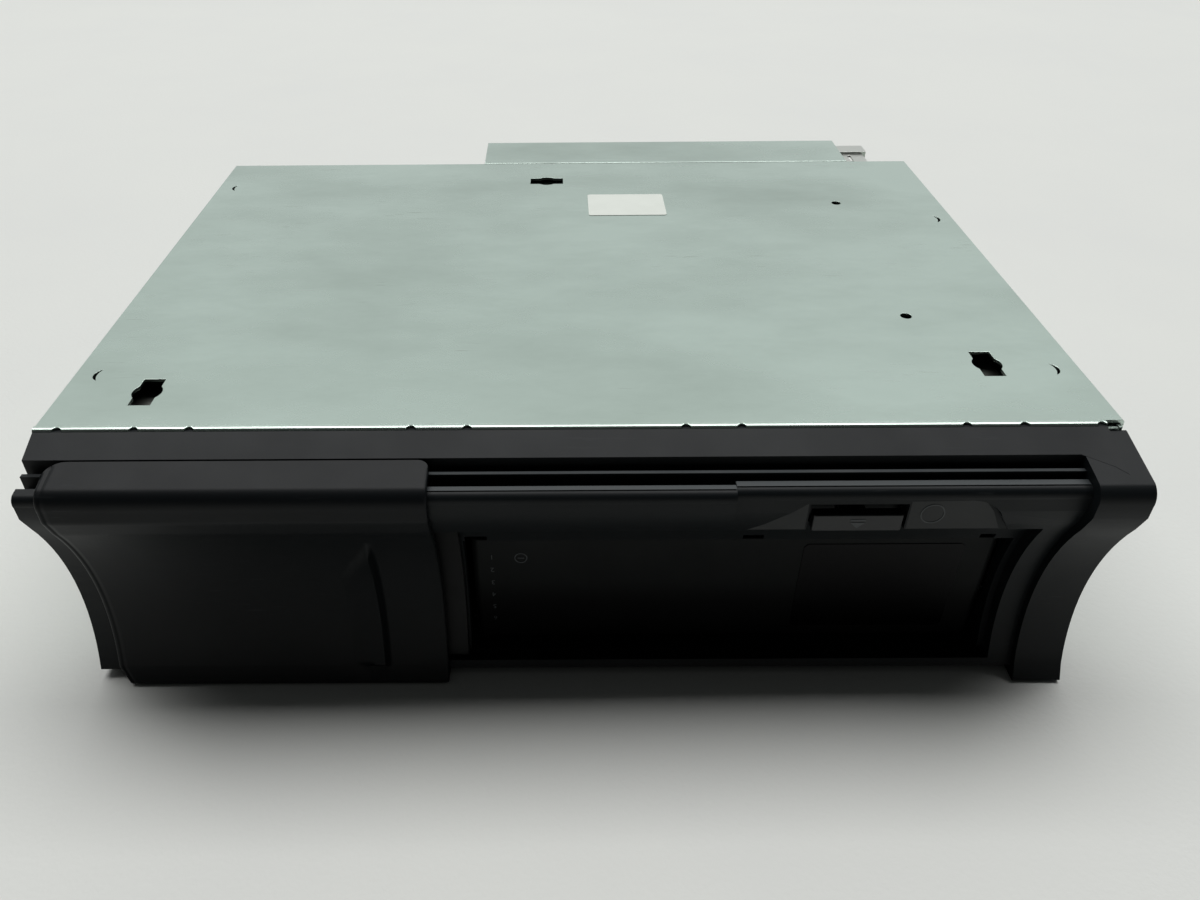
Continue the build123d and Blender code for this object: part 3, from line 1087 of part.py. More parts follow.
# ---------------------------------------------------------------- build
NODES = {
    "bottom_plate": bottom_plate, "top_cover": top_cover, "rear_panel": rear_panel,
    "rear_housing": rear_housing, "connector_shell": connector_shell,
    "connector_insert": connector_insert, "connector_pins": connector_pins,
    "case_screws": case_screws, "front_bezel": front_bezel, "outer_door": outer_door,
    "inner_door": inner_door, "eject_button": eject_button, "eject_switch": eject_switch,
    "eject_board": eject_board, "blank_sticker": blank_sticker,
    "magazine_shell": magazine_shell, "magazine_label": magazine_label,
    "mech_base": mech_base, "mech_wall_left": mech_wall_left,
    "mech_wall_right": mech_wall_right, "mech_wall_rear": mech_wall_rear,
    "bay_floor": bay_floor, "bay_roof": bay_roof, "bay_runners": bay_runners,
    "roof_stays": roof_stays, "magazine_stops": magazine_stops, "dampers": dampers,
    "lift_cam": lift_cam, "lift_gear": lift_gear, "idler_gear": idler_gear,
    "motor_pinion": motor_pinion, "lift_motor": lift_motor, "lift_studs": lift_studs,
    "deck_guide_rods": deck_guide_rods, "deck_chassis": deck_chassis,
    "spindle_motor": spindle_motor, "turntable": turntable, "clamp_arm": clamp_arm,
    "clamper": clamper, "pickup_sled": pickup_sled, "pickup_lens": pickup_lens,
    "sled_rods": sled_rods, "lead_screw": lead_screw, "sled_motor": sled_motor,
    "tray_puller": tray_puller, "puller_rod": puller_rod, "main_board": main_board,
    "board_standoffs": board_standoffs, "board_chips": board_chips,
    "board_capacitors": board_capacitors, "board_connectors": board_connectors,
    "rear_board": rear_board,
}

for name, make in NODES.items():
    save(name, make())
for side_name, side in (("left", -1), ("right", 1)):
    save(f"angle_dial_{side_name}", angle_dial(side))
for index in range(TRAY_COUNT):
    save(f"tray_{index + 1}", tray(index))
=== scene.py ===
"""Looks of a six-disc car changer that lies upside down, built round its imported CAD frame."""

import json
import logging
import math
from dataclasses import dataclass, field
from enum import Enum

import bmesh
import bpy
import numpy as np
from mathutils import Matrix, Vector

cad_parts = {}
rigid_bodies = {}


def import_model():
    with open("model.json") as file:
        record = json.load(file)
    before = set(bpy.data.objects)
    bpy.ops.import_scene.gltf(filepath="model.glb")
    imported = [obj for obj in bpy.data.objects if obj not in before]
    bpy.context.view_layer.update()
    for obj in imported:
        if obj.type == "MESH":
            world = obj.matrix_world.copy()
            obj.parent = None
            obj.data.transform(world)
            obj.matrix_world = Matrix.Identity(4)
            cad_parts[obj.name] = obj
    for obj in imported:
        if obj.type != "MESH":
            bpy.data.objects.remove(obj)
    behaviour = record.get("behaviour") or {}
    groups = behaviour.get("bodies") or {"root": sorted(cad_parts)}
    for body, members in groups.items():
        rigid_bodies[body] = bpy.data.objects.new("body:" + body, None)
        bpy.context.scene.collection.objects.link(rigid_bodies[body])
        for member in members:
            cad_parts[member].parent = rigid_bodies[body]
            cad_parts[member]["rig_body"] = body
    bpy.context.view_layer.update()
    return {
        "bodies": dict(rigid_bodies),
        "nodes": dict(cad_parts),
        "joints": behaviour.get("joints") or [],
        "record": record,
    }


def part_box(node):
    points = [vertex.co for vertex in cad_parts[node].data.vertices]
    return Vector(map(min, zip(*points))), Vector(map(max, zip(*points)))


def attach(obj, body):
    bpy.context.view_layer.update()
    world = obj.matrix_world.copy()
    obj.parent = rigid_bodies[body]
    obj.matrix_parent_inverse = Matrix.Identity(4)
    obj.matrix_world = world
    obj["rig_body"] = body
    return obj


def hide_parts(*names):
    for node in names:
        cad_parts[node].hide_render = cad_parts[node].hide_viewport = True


LOG = logging.getLogger("changer")
MM = 0.001


class Grain(Enum):
    """How a surface was made, which sets the relief that it shows."""

    ROLLED = "rolled sheet"
    SPARK = "spark eroded mould"
    POLISHED = "polished mould"
    TURNED = "ground or turned bar"
    PLAIN = "plain"


def hex_linear(code: str) -> tuple[float, float, float, float]:
    """Turns an sRGB hex colour into linear values.

    Args:
        code: a colour such as "#8a8f88".

    Returns:
        Red, green, blue and alpha, linear.
    """
    channels = [int(code[i : i + 2], 16) / 255 for i in (1, 3, 5)]
    linear = [c / 12.92 if c <= 0.04045 else ((c + 0.055) / 1.055) ** 2.4 for c in channels]
    return (*linear, 1.0)


def add_node(
    tree: bpy.types.NodeTree,
    kind: str,
    settings: dict[str, object] | None = None,
    values: dict[str | int, object] | None = None,
) -> bpy.types.Node:
    """Adds one shader node.

    Args:
        tree: the material's or the world's node tree.
        kind: the node's type name.
        settings: properties of the node.
        values: input sockets by name or number; another node's socket is linked, all else is set.

    Returns:
        The new node.
    """
    made = tree.nodes.new(kind)
    for key, value in (settings or {}).items():
        setattr(made, key, value)
    for key, value in (values or {}).items():
        if isinstance(value, bpy.types.NodeSocket):
            tree.links.new(value, made.inputs[key])
        else:
            made.inputs[key].default_value = value
    return made


# ------------------------------------------------------------------ finishes
@dataclass(frozen=True)
class Finish:
    """One finish: its real material, its colours, its gloss and the size of its relief."""

    name: str
    colour: str
    shade: str
    roughness: float
    grain: Grain = Grain.PLAIN
    metallic: float = 0.0
    ior: float = 1.5
    spread: float = 0.12
    mottle_mm: float = 18.0
    mottle: float = 0.5
    grit_mm: float = 0.8
    relief_mm: float = 0.02
    scuffs: float = 0.0
    scuff_colour: str = "#6f7274"
    sooted_mm: tuple[float, float] | None = None
    coat: float = 0.0
    specular: float = 0.5
    stretch: tuple[float, float, float] = (1.0, 1.0, 1.0)

    def build(self) -> bpy.types.Material:
        """Builds the material: a mottled colour, uneven gloss, relief of the grain, scuffs, and any painted shade
        towards the bottom.

        Returns:
            The material, which reads Object coordinates only.
        """
        material = bpy.data.materials.new(self.name)
        material.use_nodes = True
        tree = material.node_tree
        shader = tree.nodes["Principled BSDF"]
        shader.inputs["Metallic"].default_value = self.metallic
        if self.metallic == 0.0:
            shader.inputs["IOR"].default_value = self.ior
        shader.inputs["Coat Weight"].default_value = self.coat
        shader.inputs["Specular IOR Level"].default_value = self.specular
        place = add_node(tree, "ShaderNodeTexCoord").outputs["Object"]
        stretched = add_node(
            tree, "ShaderNodeMapping", None, {"Vector": place, "Scale": self.stretch}
        ).outputs["Vector"]
        # broad mottling, as handling and plating leave it
        broad = add_node(tree, "ShaderNodeTexNoise", None, {
            "Vector": stretched, "Scale": 1.0 / (self.mottle_mm * MM), "Detail": 6.0,
            "Roughness": 0.6,
        }).outputs["Fac"]
        ramp = add_node(tree, "ShaderNodeMapRange", None, {
            "Value": broad, "From Min": 0.38, "From Max": 0.68, "To Min": 0.0,
            "To Max": self.mottle,
        }).outputs["Result"]
        colour = add_node(tree, "ShaderNodeMix", {"data_type": "RGBA"}, {
            0: ramp, 6: hex_linear(self.colour), 7: hex_linear(self.shade),
        }).outputs[2]
        rough = add_node(tree, "ShaderNodeMapRange", None, {
            "Value": broad, "From Min": 0.3, "From Max": 0.7,
            "To Min": self.roughness - self.spread / 2, "To Max": self.roughness + self.spread / 2,
        }).outputs["Result"]
        if self.scuffs > 0.0:
            colour, rough = self._scuffed(tree, place, colour, rough)
        # painted shade: the colour goes black towards the bottom
        if self.sooted_mm is not None:
            colour = self._sooted(tree, place, colour)
        tree.links.new(colour, shader.inputs["Base Color"])
        tree.links.new(rough, shader.inputs["Roughness"])
        normal = self._relief(tree, place, stretched)
        if normal is not None:
            tree.links.new(normal, shader.inputs["Normal"])
        return material

    def _scuffed(
        self,
        tree: bpy.types.NodeTree,
        place: bpy.types.NodeSocket,
        colour: bpy.types.NodeSocket,
        rough: bpy.types.NodeSocket,
    ) -> tuple[bpy.types.NodeSocket, bpy.types.NodeSocket]:
        """Lays sparse rubbed marks over the colour: thin streaks gated by broad patches.

        Args:
            tree: the material's node tree.
            place: Object coordinates.
            colour: the colour so far.
            rough: the roughness so far.

        Returns:
            The colour and the roughness with the marks.
        """
        along = add_node(tree, "ShaderNodeMapping", None, {
            "Vector": place, "Rotation": (0.0, 0.0, 0.32), "Scale": (0.12, 1.0, 1.0),
        }).outputs["Vector"]
        streak = add_node(tree, "ShaderNodeTexNoise", None, {
            "Vector": along, "Scale": 900.0, "Detail": 3.0,
        }).outputs["Fac"]
        thin = add_node(tree, "ShaderNodeMapRange", None, {
            "Value": streak, "From Min": 0.62, "From Max": 0.74,
        }).outputs["Result"]
        patch = add_node(tree, "ShaderNodeTexNoise", None, {
            "Vector": place, "Scale": 38.0, "Detail": 2.0,
        }).outputs["Fac"]
        gate = add_node(tree, "ShaderNodeMapRange", None, {
            "Value": patch, "From Min": 0.56, "From Max": 0.72, "To Max": self.scuffs,
        }).outputs["Result"]
        mark = add_node(
            tree, "ShaderNodeMath", {"operation": "MULTIPLY"}, {0: thin, 1: gate}
        ).outputs[0]
        marked = add_node(tree, "ShaderNodeMix", {"data_type": "RGBA"}, {
            0: mark, 6: colour, 7: hex_linear(self.scuff_colour),
        }).outputs[2]
        matt = add_node(tree, "ShaderNodeMath", {"operation": "MULTIPLY_ADD", "use_clamp": True}, {
            0: mark, 1: 0.25, 2: rough,
        }).outputs[0]
        return marked, matt

    def _sooted(
        self,
        tree: bpy.types.NodeTree,
        place: bpy.types.NodeSocket,
        colour: bpy.types.NodeSocket,
    ) -> bpy.types.NodeSocket:
        """Paints shade: blackens the surface from one height down to another, darker towards the bottom.

        Args:
            tree: the material's node tree.
            place: Object coordinates.
            colour: the colour so far.

        Returns:
            The colour with its painted shade at the foot.
        """
        height = add_node(tree, "ShaderNodeSeparateXYZ", None, {0: place}).outputs["Z"]
        black = add_node(tree, "ShaderNodeMapRange", {"interpolation_type": "SMOOTHSTEP"}, {
            "Value": height, "From Min": self.sooted_mm[0] * MM, "From Max": self.sooted_mm[1] * MM,
            "To Min": 0.9, "To Max": 0.0,
        }).outputs["Result"]
        return add_node(tree, "ShaderNodeMix", {"data_type": "RGBA"}, {
            0: black, 6: colour, 7: hex_linear("#020203"),
        }).outputs[2]

    def _relief(
        self,
        tree: bpy.types.NodeTree,
        place: bpy.types.NodeSocket,
        stretched: bpy.types.NodeSocket,
    ) -> bpy.types.NodeSocket | None:
        """Works out the grain's bump.

        Args:
            tree: the material's node tree.
            place: Object coordinates.
            stretched: Object coordinates, drawn out along the working direction.

        Returns:
            The normal, or None for a plain surface.
        """
        if self.grain in (Grain.PLAIN, Grain.POLISHED):
            return None
        source = stretched if self.grain in (Grain.ROLLED, Grain.TURNED) else place
        height = add_node(tree, "ShaderNodeTexNoise", None, {
            "Vector": source, "Scale": 1.0 / (self.grit_mm * MM), "Detail": 2.0,
        }).outputs["Fac"]
        return add_node(tree, "ShaderNodeBump", None, {
            "Height": height, "Strength": 0.6, "Distance": self.relief_mm * MM,
        }).outputs["Normal"]


# Electro-galvanised steel: dull, pale, faintly green, with handling smudges.
GALVANISED = Finish(
    "galvanised_steel_sheet", "#c8d6ce", "#a5b2aa", 0.27, Grain.ROLLED, 1.0,
    spread=0.09, mottle_mm=42.0, mottle=0.8, grit_mm=1.1, relief_mm=0.004,
    scuffs=0.75, scuff_colour="#7d847e", stretch=(0.5, 1.0, 1.0),
)
# ABS in a spark eroded mould: near black, satin, fine even grit, lighter where rubbed.
BEZEL_ABS = Finish(
    "spark_textured_abs", "#0e1214", "#0b0e10", 0.46, Grain.SPARK, specular=0.16, spread=0.08,
    mottle_mm=30.0, grit_mm=0.5, relief_mm=0.02, scuffs=0.35, scuff_colour="#4a4c4e",
)
DOOR_ABS = Finish(
    "sliding_door_abs", "#0c0f11", "#090b0d", 0.43, Grain.SPARK, specular=0.14, spread=0.08,
    mottle_mm=26.0, grit_mm=0.5, relief_mm=0.018, scuffs=0.25, scuff_colour="#45484a",
)
LEAF_ABS = Finish("door_leaf_abs", "#08090a", "#060607", 0.5, Grain.SPARK,
                  specular=0.25, relief_mm=0.015)
BUTTON_ABS = Finish("button_abs", "#17191b", "#121416", 0.38, Grain.SPARK, specular=0.4,
                    relief_mm=0.01)
# Magazine ABS: near black, with painted shade that blackens its face towards the bottom.
MAGAZINE_ABS = Finish(
    "magazine_abs", "#141616", "#0f1111", 0.45, Grain.SPARK, specular=0.1, sooted_mm=(17.0, 27.0), relief_mm=0.008,
    scuffs=0.3, scuff_colour="#2c2e30",
)
LABEL_FILM = Finish("glossy_label_film", "#040405", "#030304", 0.2, Grain.POLISHED,
                    specular=0.1)
PAPER = Finish("blank_paper_sticker", "#d2d6cf", "#c8ccc5", 0.7, mottle_mm=9.0, mottle=0.4)
TRAY_ABS = Finish("tray_abs", "#34363a", "#2c2e31", 0.4, Grain.SPARK, ior=1.53, relief_mm=0.01)
FRAME_STEEL = Finish(
    "pressed_frame_steel", "#adb0aa", "#9ea19b", 0.4, Grain.ROLLED, 1.0, grit_mm=1.2,
    relief_mm=0.01, stretch=(0.4, 1.0, 1.0),
)
GROUND_STEEL = Finish(
    "ground_steel_rod", "#c6c8c8", "#b4b6b6", 0.22, Grain.TURNED, 1.0, grit_mm=0.3,
    relief_mm=0.004, stretch=(0.2, 1.0, 1.0),
)
NICKEL = Finish("nickel_plated_shell", "#cfd0cb", "#bcbdb8", 0.3, Grain.ROLLED, 1.0, grit_mm=0.8,
                relief_mm=0.006)
BRASS = Finish("brass_pin", "#c9a552", "#b4924a", 0.3, metallic=1.0)
ZINC_SCREW = Finish("zinc_plated_screw", "#9b9d99", "#8b8d89", 0.38, Grain.TURNED, 1.0,
                    grit_mm=0.4, relief_mm=0.006)
ACETAL = Finish("natural_acetal", "#e6e3d6", "#dcd9cb", 0.38, Grain.POLISHED, ior=1.48)
DIAL_ABS = Finish("dial_abs", "#2a2a2c", "#222224", 0.45, Grain.SPARK, ior=1.53)
RUBBER = Finish("butyl_rubber", "#1a1a1b", "#141415", 0.75, Grain.SPARK, relief_mm=0.02)
MOTOR_CAN = Finish("drawn_motor_can", "#b5b6b1", "#a5a6a1", 0.32, Grain.ROLLED, 1.0,
                   relief_mm=0.006)
BOARD = Finish("green_solder_mask", "#2c5a38", "#244d30", 0.32, Grain.SPARK, grit_mm=1.5,
               relief_mm=0.01)
CHIP = Finish("chip_epoxy", "#1b1b1d", "#161617", 0.5, Grain.SPARK, relief_mm=0.008)
CAPACITOR = Finish("capacitor_sleeve", "#24252c", "#1d1e24", 0.3, Grain.POLISHED)
SOCKET = Finish("nylon_socket", "#e3e0d3", "#d7d4c6", 0.45, Grain.SPARK, relief_mm=0.008)
LENS = Finish("coated_lens", "#5f78a6", "#4f6690", 0.08, Grain.POLISHED, coat=0.6)

FINISH_OF_SLOT: dict[str, Finish] = {
    "galvanised": GALVANISED, "bezel": BEZEL_ABS, "door": DOOR_ABS, "leaf": LEAF_ABS,
    "button": BUTTON_ABS, "magazine": MAGAZINE_ABS, "label": LABEL_FILM, "sticker": PAPER,
    "tray": TRAY_ABS, "frame": FRAME_STEEL, "rods": GROUND_STEEL, "acetal": ACETAL,
    "dial": DIAL_ABS, "rubber": RUBBER, "motor": MOTOR_CAN, "board": BOARD, "chip": CHIP,
    "capacitor": CAPACITOR, "socket": SOCKET, "connector": NICKEL, "insert": CHIP,
    "pins": BRASS, "lens": LENS, "screws": ZINC_SCREW,
}


# Rail tops: rubbed by the door and smoother, and drawn lighter grey as a painted highlight.
RUBBED_HIGHLIT_ABS = Finish("rubbed_abs", "#34383a", "#292c2e", 0.33, Grain.SPARK, relief_mm=0.006)
# Scoop faces: satin ABS drawn lighter grey as painted light, where the scoop faces up.
SCOOP_PAINTED_LIGHT_ABS = Finish("satin_abs_recess", "#191c1d", "#141617", 0.4, Grain.SPARK, specular=0.3,
                   relief_mm=0.01)
# Raised marks in the same ABS, drawn light grey as a painted highlight.
MARK_PAINTED_HIGHLIGHT = Finish("raised_mark_abs", "#3c4042", "#323638", 0.4, specular=0.4)


# ------------------------------------------------------------------ surfaces
def ring_solid(name: str, rings_mm: np.ndarray, sharp_deg: float = 32.0) -> bpy.types.Mesh:
    """Makes a closed surface through a row of closed outlines.

    Point (u, v) of the surface is point v of outline u; v closes on itself, and the first
    and last outlines are capped.

    Args:
        name: the mesh's name.
        rings_mm: outlines, an array of (outlines, points, 3) in millimetres.
        sharp_deg: edges that turn more than this stay sharp.

    Returns:
        The mesh, in metres.
    """
    rows, columns, _ = rings_mm.shape
    down = np.arange(rows - 1)[:, None] * columns
    across = np.arange(columns)[None, :]
    following = (across + 1) % columns
    quads = np.stack(
        [down + across, down + following, down + columns + following, down + columns + across],
        axis=-1,
    ).reshape(-1, 4)
    last = (rows - 1) * columns
    faces = [*quads.tolist(), list(range(columns))[::-1], list(range(last, last + columns))]
    return closed_mesh(name, rings_mm.reshape(-1, 3), faces, sharp_deg)


def closed_mesh(
    name: str, points_mm: np.ndarray, faces: list[list[int]], sharp_deg: float = 32.0
) -> bpy.types.Mesh:
    """Makes a mesh whose doubles are merged and whose faces point outwards.

    Args:
        name: the mesh's name.
        points_mm: an array of (points, 3) in millimetres.
        faces: corner numbers of each face.
        sharp_deg: edges that turn more than this stay sharp.

    Returns:
        The mesh, in metres.
    """
    mesh = bpy.data.meshes.new(name)
    mesh.from_pydata((points_mm * MM).tolist(), [], faces)
    work = bmesh.new()
    work.from_mesh(mesh)
    bmesh.ops.remove_doubles(work, verts=work.verts, dist=1e-7)
    bmesh.ops.dissolve_degenerate(work, edges=work.edges, dist=1e-7)
    bmesh.ops.recalc_face_normals(work, faces=work.faces)
    work.to_mesh(mesh)
    work.free()
    mesh.polygons.foreach_set("use_smooth", [True] * len(mesh.polygons))
    mesh.set_sharp_from_angle(angle=math.radians(sharp_deg))
    return mesh


def joined(name: str, parts: list[bpy.types.Mesh]) -> bpy.types.Mesh:
    """Joins several closed surfaces into one mesh."""
    work = bmesh.new()
    for part in parts:
        work.from_mesh(part)
    mesh = bpy.data.meshes.new(name)
    work.to_mesh(mesh)
    work.free()
    mesh.polygons.foreach_set("use_smooth", [True] * len(mesh.polygons))
    mesh.set_sharp_from_angle(angle=math.radians(32))
    for part in parts:
        bpy.data.meshes.remove(part)
    return mesh


def arc(start: tuple[float, float], middle: tuple[float, float], end: tuple[float, float],
        count: int) -> np.ndarray:
    """Points of the circle's arc through three points, its ends included."""
    (ax, ay), (bx, by), (cx, cy) = start, middle, end
    d = 2 * (ax * (by - cy) + bx * (cy - ay) + cx * (ay - by))
    a2, b2, c2 = ax * ax + ay * ay, bx * bx + by * by, cx * cx + cy * cy
    ux = (a2 * (by - cy) + b2 * (cy - ay) + c2 * (ay - by)) / d
    uy = (a2 * (cx - bx) + b2 * (ax - cx) + c2 * (bx - ax)) / d
    angles = np.unwrap([math.atan2(y - uy, x - ux) for x, y in (start, middle, end)])
    sweep = np.linspace(angles[0], angles[2], count)
    radius = math.hypot(ax - ux, ay - uy)
    return np.stack([ux + radius * np.cos(sweep), uy + radius * np.sin(sweep)], axis=-1)


def line(start: tuple[float, float], end: tuple[float, float], count: int) -> np.ndarray:
    """Evenly spaced points from a start up to, but without, an end."""
    share = np.linspace(0.0, 1.0, count, endpoint=False)[:, None]
    return np.array(start) * (1 - share) + np.array(end) * share


def soft_step(value: np.ndarray) -> np.ndarray:
    """Zero below 0, one above 1, and 3v^2 - 2v^3 between."""
    held = np.clip(value, 0.0, 1.0)
    return held * held * (3 - 2 * held)


def prism_mesh(name: str, outline: np.ndarray, axis: int, start: float, end: float) -> bpy.types.Mesh:
    """Makes a prism: an outline carried along one axis.

    Args:
        name: the mesh's name.
        outline: points across the axis, in the order of the other two axes.
        axis: 0, 1 or 2 for X, Y or Z.
        start: where it starts, in millimetres.
        end: where it ends.

    Returns:
        The mesh.
    """
    rings = [np.insert(outline, axis, place, axis=1) for place in (start, end)]
    return ring_solid(name, np.stack(rings))


def ring_mark(name: str, x: float, z: float, y: float, radius: float, width: float) -> bpy.types.Mesh:
    """A raised circle on a face that looks along -Y: a small square section turned round."""
    turn = np.linspace(0, 2 * math.pi, 41)[:-1]
    rows = []
    for reach, depth in ((radius, 0.0), (radius, -0.1), (radius - width, -0.1),
                         (radius - width, 0.0)):
        rows.append(np.stack([x + reach * np.cos(turn), np.full_like(turn, y + depth),
                              z + reach * np.sin(turn)], axis=-1))
    points = np.stack(rows, axis=1)
    count = len(turn)
    faces = []
    for index in range(count):
        after = (index + 1) % count
        for side in range(4):
            other = (side + 1) % 4
            faces.append([index * 4 + side, index * 4 + other, after * 4 + other,
                          after * 4 + side])
    return closed_mesh(name, points.reshape(-1, 3), faces)


# ------------------------------------------------------------------ workshop
@dataclass
class Workshop:
    """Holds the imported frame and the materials, and dresses its nodes."""

    frame: dict[str, object]
    materials: dict[str, bpy.types.Material] = field(default_factory=dict)

    def material(self, slot: str) -> bpy.types.Material:
        """The material of one of the record's slots, built once."""
        if slot not in self.materials:
            self.materials[slot] = FINISH_OF_SLOT[slot].build()
        return self.materials[slot]

    def slot_of(self, node: str) -> str:
        """The record's material slot of a CAD node."""
        for entry in self.frame["record"]["subparts"]:
            if entry["node"] == node:
                return entry["material_slot"]
        raise KeyError(node)

    def body_of(self, node: str) -> str:
        """The CAD body that carries a node."""
        return str(self.frame["nodes"][node]["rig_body"])

    def paint(self, obj: bpy.types.Object, slot: str) -> None:
        """Gives an object the material of a slot."""
        material = self.material(slot)
        if not obj.material_slots:
            obj.data.materials.append(material)
        for holder in obj.material_slots:
            holder.material = material

    def edged(self, node: str, radius_mm: float, segments: int = 2) -> bpy.types.Object:
        """Replaces a CAD node by a copy whose sharp edges have the real small radius.

        The copy's loose triangles are merged and its flat runs joined, then a Bevel rounds
        every edge sharper than 28 degrees.

        Args:
            node: the CAD node.
            radius_mm: the edge radius.
            segments: faces across each rounded edge.

        Returns:
            The new piece, riding on the node's body.
        """
        source = self.frame["nodes"][node]
        mesh = source.data.copy()
        work = bmesh.new()
        work.from_mesh(mesh)
        bmesh.ops.remove_doubles(work, verts=work.verts, dist=2e-6)
        bmesh.ops.dissolve_limit(
            work, angle_limit=math.radians(0.6), verts=work.verts, edges=work.edges
        )
        work.to_mesh(mesh)
        work.free()
        if mesh.has_custom_normals:
            mesh.normals_split_custom_set([(0.0, 0.0, 0.0)] * len(mesh.loops))
        mesh.polygons.foreach_set("use_smooth", [True] * len(mesh.polygons))
        mesh.set_sharp_from_angle(angle=math.radians(28))
        piece = bpy.data.objects.new(f"{node}_dressed", mesh)
        bpy.context.scene.collection.objects.link(piece)
        bevel = piece.modifiers.new("edge_radius", "BEVEL")
        bevel.width = radius_mm * MM
        bevel.segments = segments
        bevel.limit_method = "ANGLE"
        bevel.angle_limit = math.radians(28)
        bevel.use_clamp_overlap = True
        smooth = piece.modifiers.new("even_shading", "WEIGHTED_NORMAL")
        smooth.keep_sharp = True
        slot = self.slot_of(node)
        mesh.materials.clear()
        self.paint(piece, slot)
        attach(piece, self.body_of(node))
        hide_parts(node)
        LOG.info("edged %s", node)
        return piece

    def fit(
        self,
        name: str,
        mesh: bpy.types.Mesh,
        slot: str,
        on: str,
        finish: Finish | None = None,
        replaced: bool = False,
    ) -> bpy.types.Object:
        """Fits a new piece to the body of a CAD node.

        Args:
            name: the new piece's name.
            mesh: its surface, in the shared frame.
            slot: the record's material slot that it takes its finish from.
            on: the CAD node that carries it or that it stands for.
            finish: a finish of its own, else the slot's.
            replaced: True where the piece stands for that node.

        Returns:
            The new piece.
        """
        piece = bpy.data.objects.new(name, mesh)
        bpy.context.scene.collection.objects.link(piece)
        if finish is None:
            self.paint(piece, slot)
        else:
            if finish.name not in self.materials:
                self.materials[finish.name] = finish.build()
            mesh.materials.append(self.materials[finish.name])
        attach(piece, self.body_of(on))
        if replaced:
            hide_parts(on)
        LOG.info("fitted %s", name)
        return piece

    def notched(self, piece: bpy.types.Object, low: Vector, high: Vector) -> None:
        """Cuts a box out of a piece's mesh, for a new piece to take its place.

        Args:
            piece: the piece to cut.
            low: the box's lowest corner in metres.
            high: the box's highest corner in metres.
        """
        size, middle = high - low, (high + low) / 2
        cutter_mesh = bpy.data.meshes.new("cutter")
        work = bmesh.new()
        bmesh.ops.create_cube(work, size=1.0)
        bmesh.ops.scale(work, vec=size, verts=work.verts)
        bmesh.ops.translate(work, vec=middle, verts=work.verts)
        work.to_mesh(cutter_mesh)
        work.free()
        cutter = bpy.data.objects.new("cutter", cutter_mesh)
        bare = bpy.data.objects.new("bare", piece.data)
        for helper in (cutter, bare):
            bpy.context.scene.collection.objects.link(helper)
        cut = bare.modifiers.new("cut", "BOOLEAN")
        cut.operation = "DIFFERENCE"
        cut.solver = "EXACT"
        cut.object = cutter
        graph = bpy.context.evaluated_depsgraph_get()
        piece.data = bpy.data.meshes.new_from_object(bare.evaluated_get(graph))
        for helper in (cutter, bare):
            bpy.data.objects.remove(helper)

    def painted(self, node: str) -> None:
        """Keeps a CAD node's shape and gives it its material."""
        self.paint(self.frame["nodes"][node], self.slot_of(node))
        LOG.info("painted %s", node)


